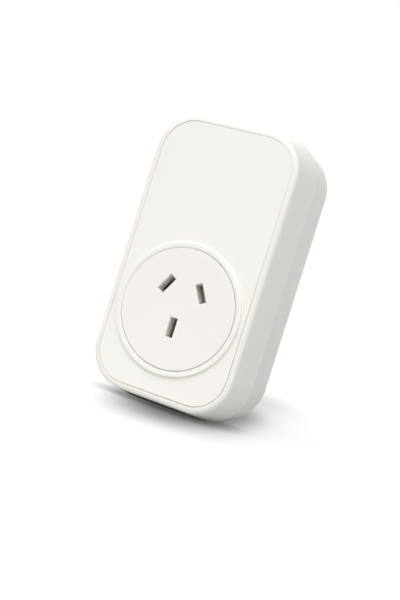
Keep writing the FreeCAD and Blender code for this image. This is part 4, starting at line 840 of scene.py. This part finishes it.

# Floor: a sweep of white paper at the height of the case's lowest edge. The case stands on its
# bottom edge. Its shadow is mostly painted: a painted contact shade darkest where they meet, and
# painted soft shadows under, behind and before it, over a faint real shadow from the lamps.
low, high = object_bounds()
floor_reach = 3.0
floor_mesh = bpy.data.meshes.new("floor")
floor_corners = [(-1, -1), (1, -1), (1, 1), (-1, 1)]
corners = [(x * floor_reach, y * floor_reach, low.z) for x, y in floor_corners]
floor_mesh.from_pydata(corners, [], [(0, 1, 2, 3)])
floor = bpy.data.objects.new("floor", floor_mesh)
bpy.context.scene.collection.objects.link(floor)
paper = new_material("paper_white_sweep")
to_camera = add(paper, "ShaderNodeLightPath")["Is Camera Ray"]
floor_place = add(paper, "ShaderNodeTexCoord")["Object"]
# Close under the case, within 8 mm, the paper's colour is darkened by up to this share: painted
# contact shade
painted_contact_shade, contact_reach = 0.28, 0.008
open_sky = add(paper, "ShaderNodeAmbientOcclusion", {"Distance": contact_reach}, samples=16)["AO"]
lit = {0: open_sky, 1: painted_contact_shade, 2: 1 - painted_contact_shade}
shade = add(paper, "ShaderNodeMath", lit, operation="MULTIPLY_ADD")[0]


def painted_shadow_spot(middle, swing, spread, falloff):
    """A mask of a painted shadow on the floor, 1 in its middle and falling to 0 all round."""
    turns = {"Location": middle, "Rotation": (0, 0, math.radians(swing)), "Scale": spread}
    turns["Vector"] = floor_place
    spot = add(paper, "ShaderNodeMapping", turns, vector_type="TEXTURE")[0]
    away = add(paper, "ShaderNodeVectorMath", {0: spot}, operation="LENGTH")["Value"]
    steep = add(paper, "ShaderNodeMath", {0: away, 1: falloff}, operation="POWER")[0]
    falling = add(paper, "ShaderNodeMath", {0: steep, 1: -1.0}, operation="MULTIPLY")[0]
    return add(paper, "ShaderNodeMath", {0: falling}, operation="EXPONENT")[0]


# Each painted shadow: its middle, the degrees that it is turned by, how far it spreads, how dark
# it is, and how steeply it ends
for middle, swing, spread, depth, falloff in [
    ((-0.0025, 0.0135, low.z), 11.5, (0.0235, 0.084, 1), 0.8, 4.2),
    ((-0.034, 0.132, low.z), 15, (0.03, 0.105, 1), 0.36, 2.4),
    ((0.0105, -0.031, low.z), 32, (0.022, 0.045, 1), 0.28, 2.9),
]:
    dark = painted_shadow_spot(middle, swing, spread, falloff)
    # Painted shadow: each spot darkens the paper's colour
    soft = add(paper, "ShaderNodeMath", {0: dark, 1: -depth, 2: 1.0}, operation="MULTIPLY_ADD")[0]
    shade = add(paper, "ShaderNodeMath", {0: shade, 1: soft}, operation="MULTIPLY")[0]
# The camera sees paper that is partly lit and partly glows, so that it is white and still holds
# the painted shadows and contact shade, with a faint real shadow from the lamps. All other rays
# meet a plain grey sheet.
sheet_grey, lit_share, glow = 0.74, 0.4, 0.65
dull = add(paper, "ShaderNodeMath", {0: shade, 1: lit_share}, operation="MULTIPLY")[0]
plain_colour = (sheet_grey, sheet_grey, sheet_grey, 1.0)
plain_sheet = add(paper, "ShaderNodeBsdfDiffuse", {"Color": plain_colour})[0]
seen_sheet = add(paper, "ShaderNodeBsdfDiffuse", {"Color": dull})[0]
seen_glow = add(paper, "ShaderNodeEmission", {"Color": shade, "Strength": glow})[0]
seen = add(paper, "ShaderNodeAddShader", {0: seen_sheet, 1: seen_glow})[0]
either = add(paper, "ShaderNodeMixShader", {0: to_camera, 1: plain_sheet, 2: seen})[0]
add(paper, "ShaderNodeOutputMaterial", {"Surface": either})
floor_mesh.materials.append(paper)

# Light: five broad soft lamps, from the front, the left, the top, the right and the back, in a
# room that gives little light of its own. To the camera and in reflections the room is white.
world = bpy.data.worlds.new("white_room")
bpy.context.scene.world = world
world.use_nodes = True
world.node_tree.nodes.clear()
white = (1.0, 1.0, 1.0, 1.0)
ray = add(world, "ShaderNodeLightPath")
room_light = add(world, "ShaderNodeBackground", {"Strength": 0.06, "Color": white})[0]
backdrop = add(world, "ShaderNodeBackground", {"Strength": 1.0, "Color": white})[0]
seen_ray = ray["Is Camera Ray"]
for other in ("Is Glossy Ray", "Is Transmission Ray"):
    seen_ray = add(world, "ShaderNodeMath", {0: seen_ray, 1: ray[other]}, operation="MAXIMUM")[0]
either = add(world, "ShaderNodeMixShader", {0: seen_ray, 1: room_light, 2: backdrop})[0]
add(world, "ShaderNodeOutputWorld", {"Surface": either})

# Each lamp: the way to it from the case, and its strength. The light comes from a disc 50 degrees
# wide, so the shadows are soft.
lamp_width = math.radians(50)
for name, source, power in [
    ("front_lamp", (-0.1, -0.75, 0.66), 1.47),
    ("left_lamp", (-0.6, -0.2, 0.8), 0.9),
    ("top_lamp", (-0.1, 0.2, 1.0), 0.54),
    ("right_lamp", (0.58, -0.45, 0.64), 1.06),
    ("back_lamp", (-0.65, 1.0, 0.1), 0.75),
]:
    lamp = bpy.data.lights.new(name, "SUN")
    lamp.angle = lamp_width
    lamp.energy = power
    holder = bpy.data.objects.new(name, lamp)
    holder.rotation_mode = "QUATERNION"
    holder.rotation_quaternion = (-Vector(source)).to_track_quat("-Z", "Y")
    bpy.context.scene.collection.objects.link(holder)

# Camera: level with the outlet, turned 24 degrees to the right of the front and rolled, so that
# the case leans. Lens and centre were found from the outlines of the case and of the outlet.
turn = math.radians(23.94)
rise = math.radians(-0.24)
roll = math.radians(17.49)
back = Vector((math.sin(turn) * math.cos(rise), -math.cos(turn) * math.cos(rise), math.sin(rise)))
level = Vector((math.cos(turn), math.sin(turn), 0))
upright = back.cross(level)
right = level * math.cos(roll) + upright * math.sin(roll)
up = upright * math.cos(roll) - level * math.sin(roll)
# The lens and the shifts are in pixels of a picture 600 high. The sensor is that of 35 mm film.
focal, shift_across, shift_up = 1068.4, -1.6, -0.7
picture_height, film_width = 600, 36.0
camera_data = bpy.data.cameras.new("camera")
camera_data.sensor_width = film_width
camera_data.lens = focal / picture_height * film_width
camera_data.shift_x = shift_across / picture_height
camera_data.shift_y = shift_up / picture_height
camera_data.clip_start = 0.01
camera_data.clip_end = 20.0
camera = bpy.data.objects.new("camera", camera_data)
stand = Matrix.Translation((0.1585, -0.3741, 0.00075))
camera.matrix_world = stand @ Matrix((right, up, back)).transposed().to_4x4()
bpy.context.scene.collection.objects.link(camera)
bpy.context.scene.camera = camera
bpy.context.scene.view_settings.view_transform = "Standard"
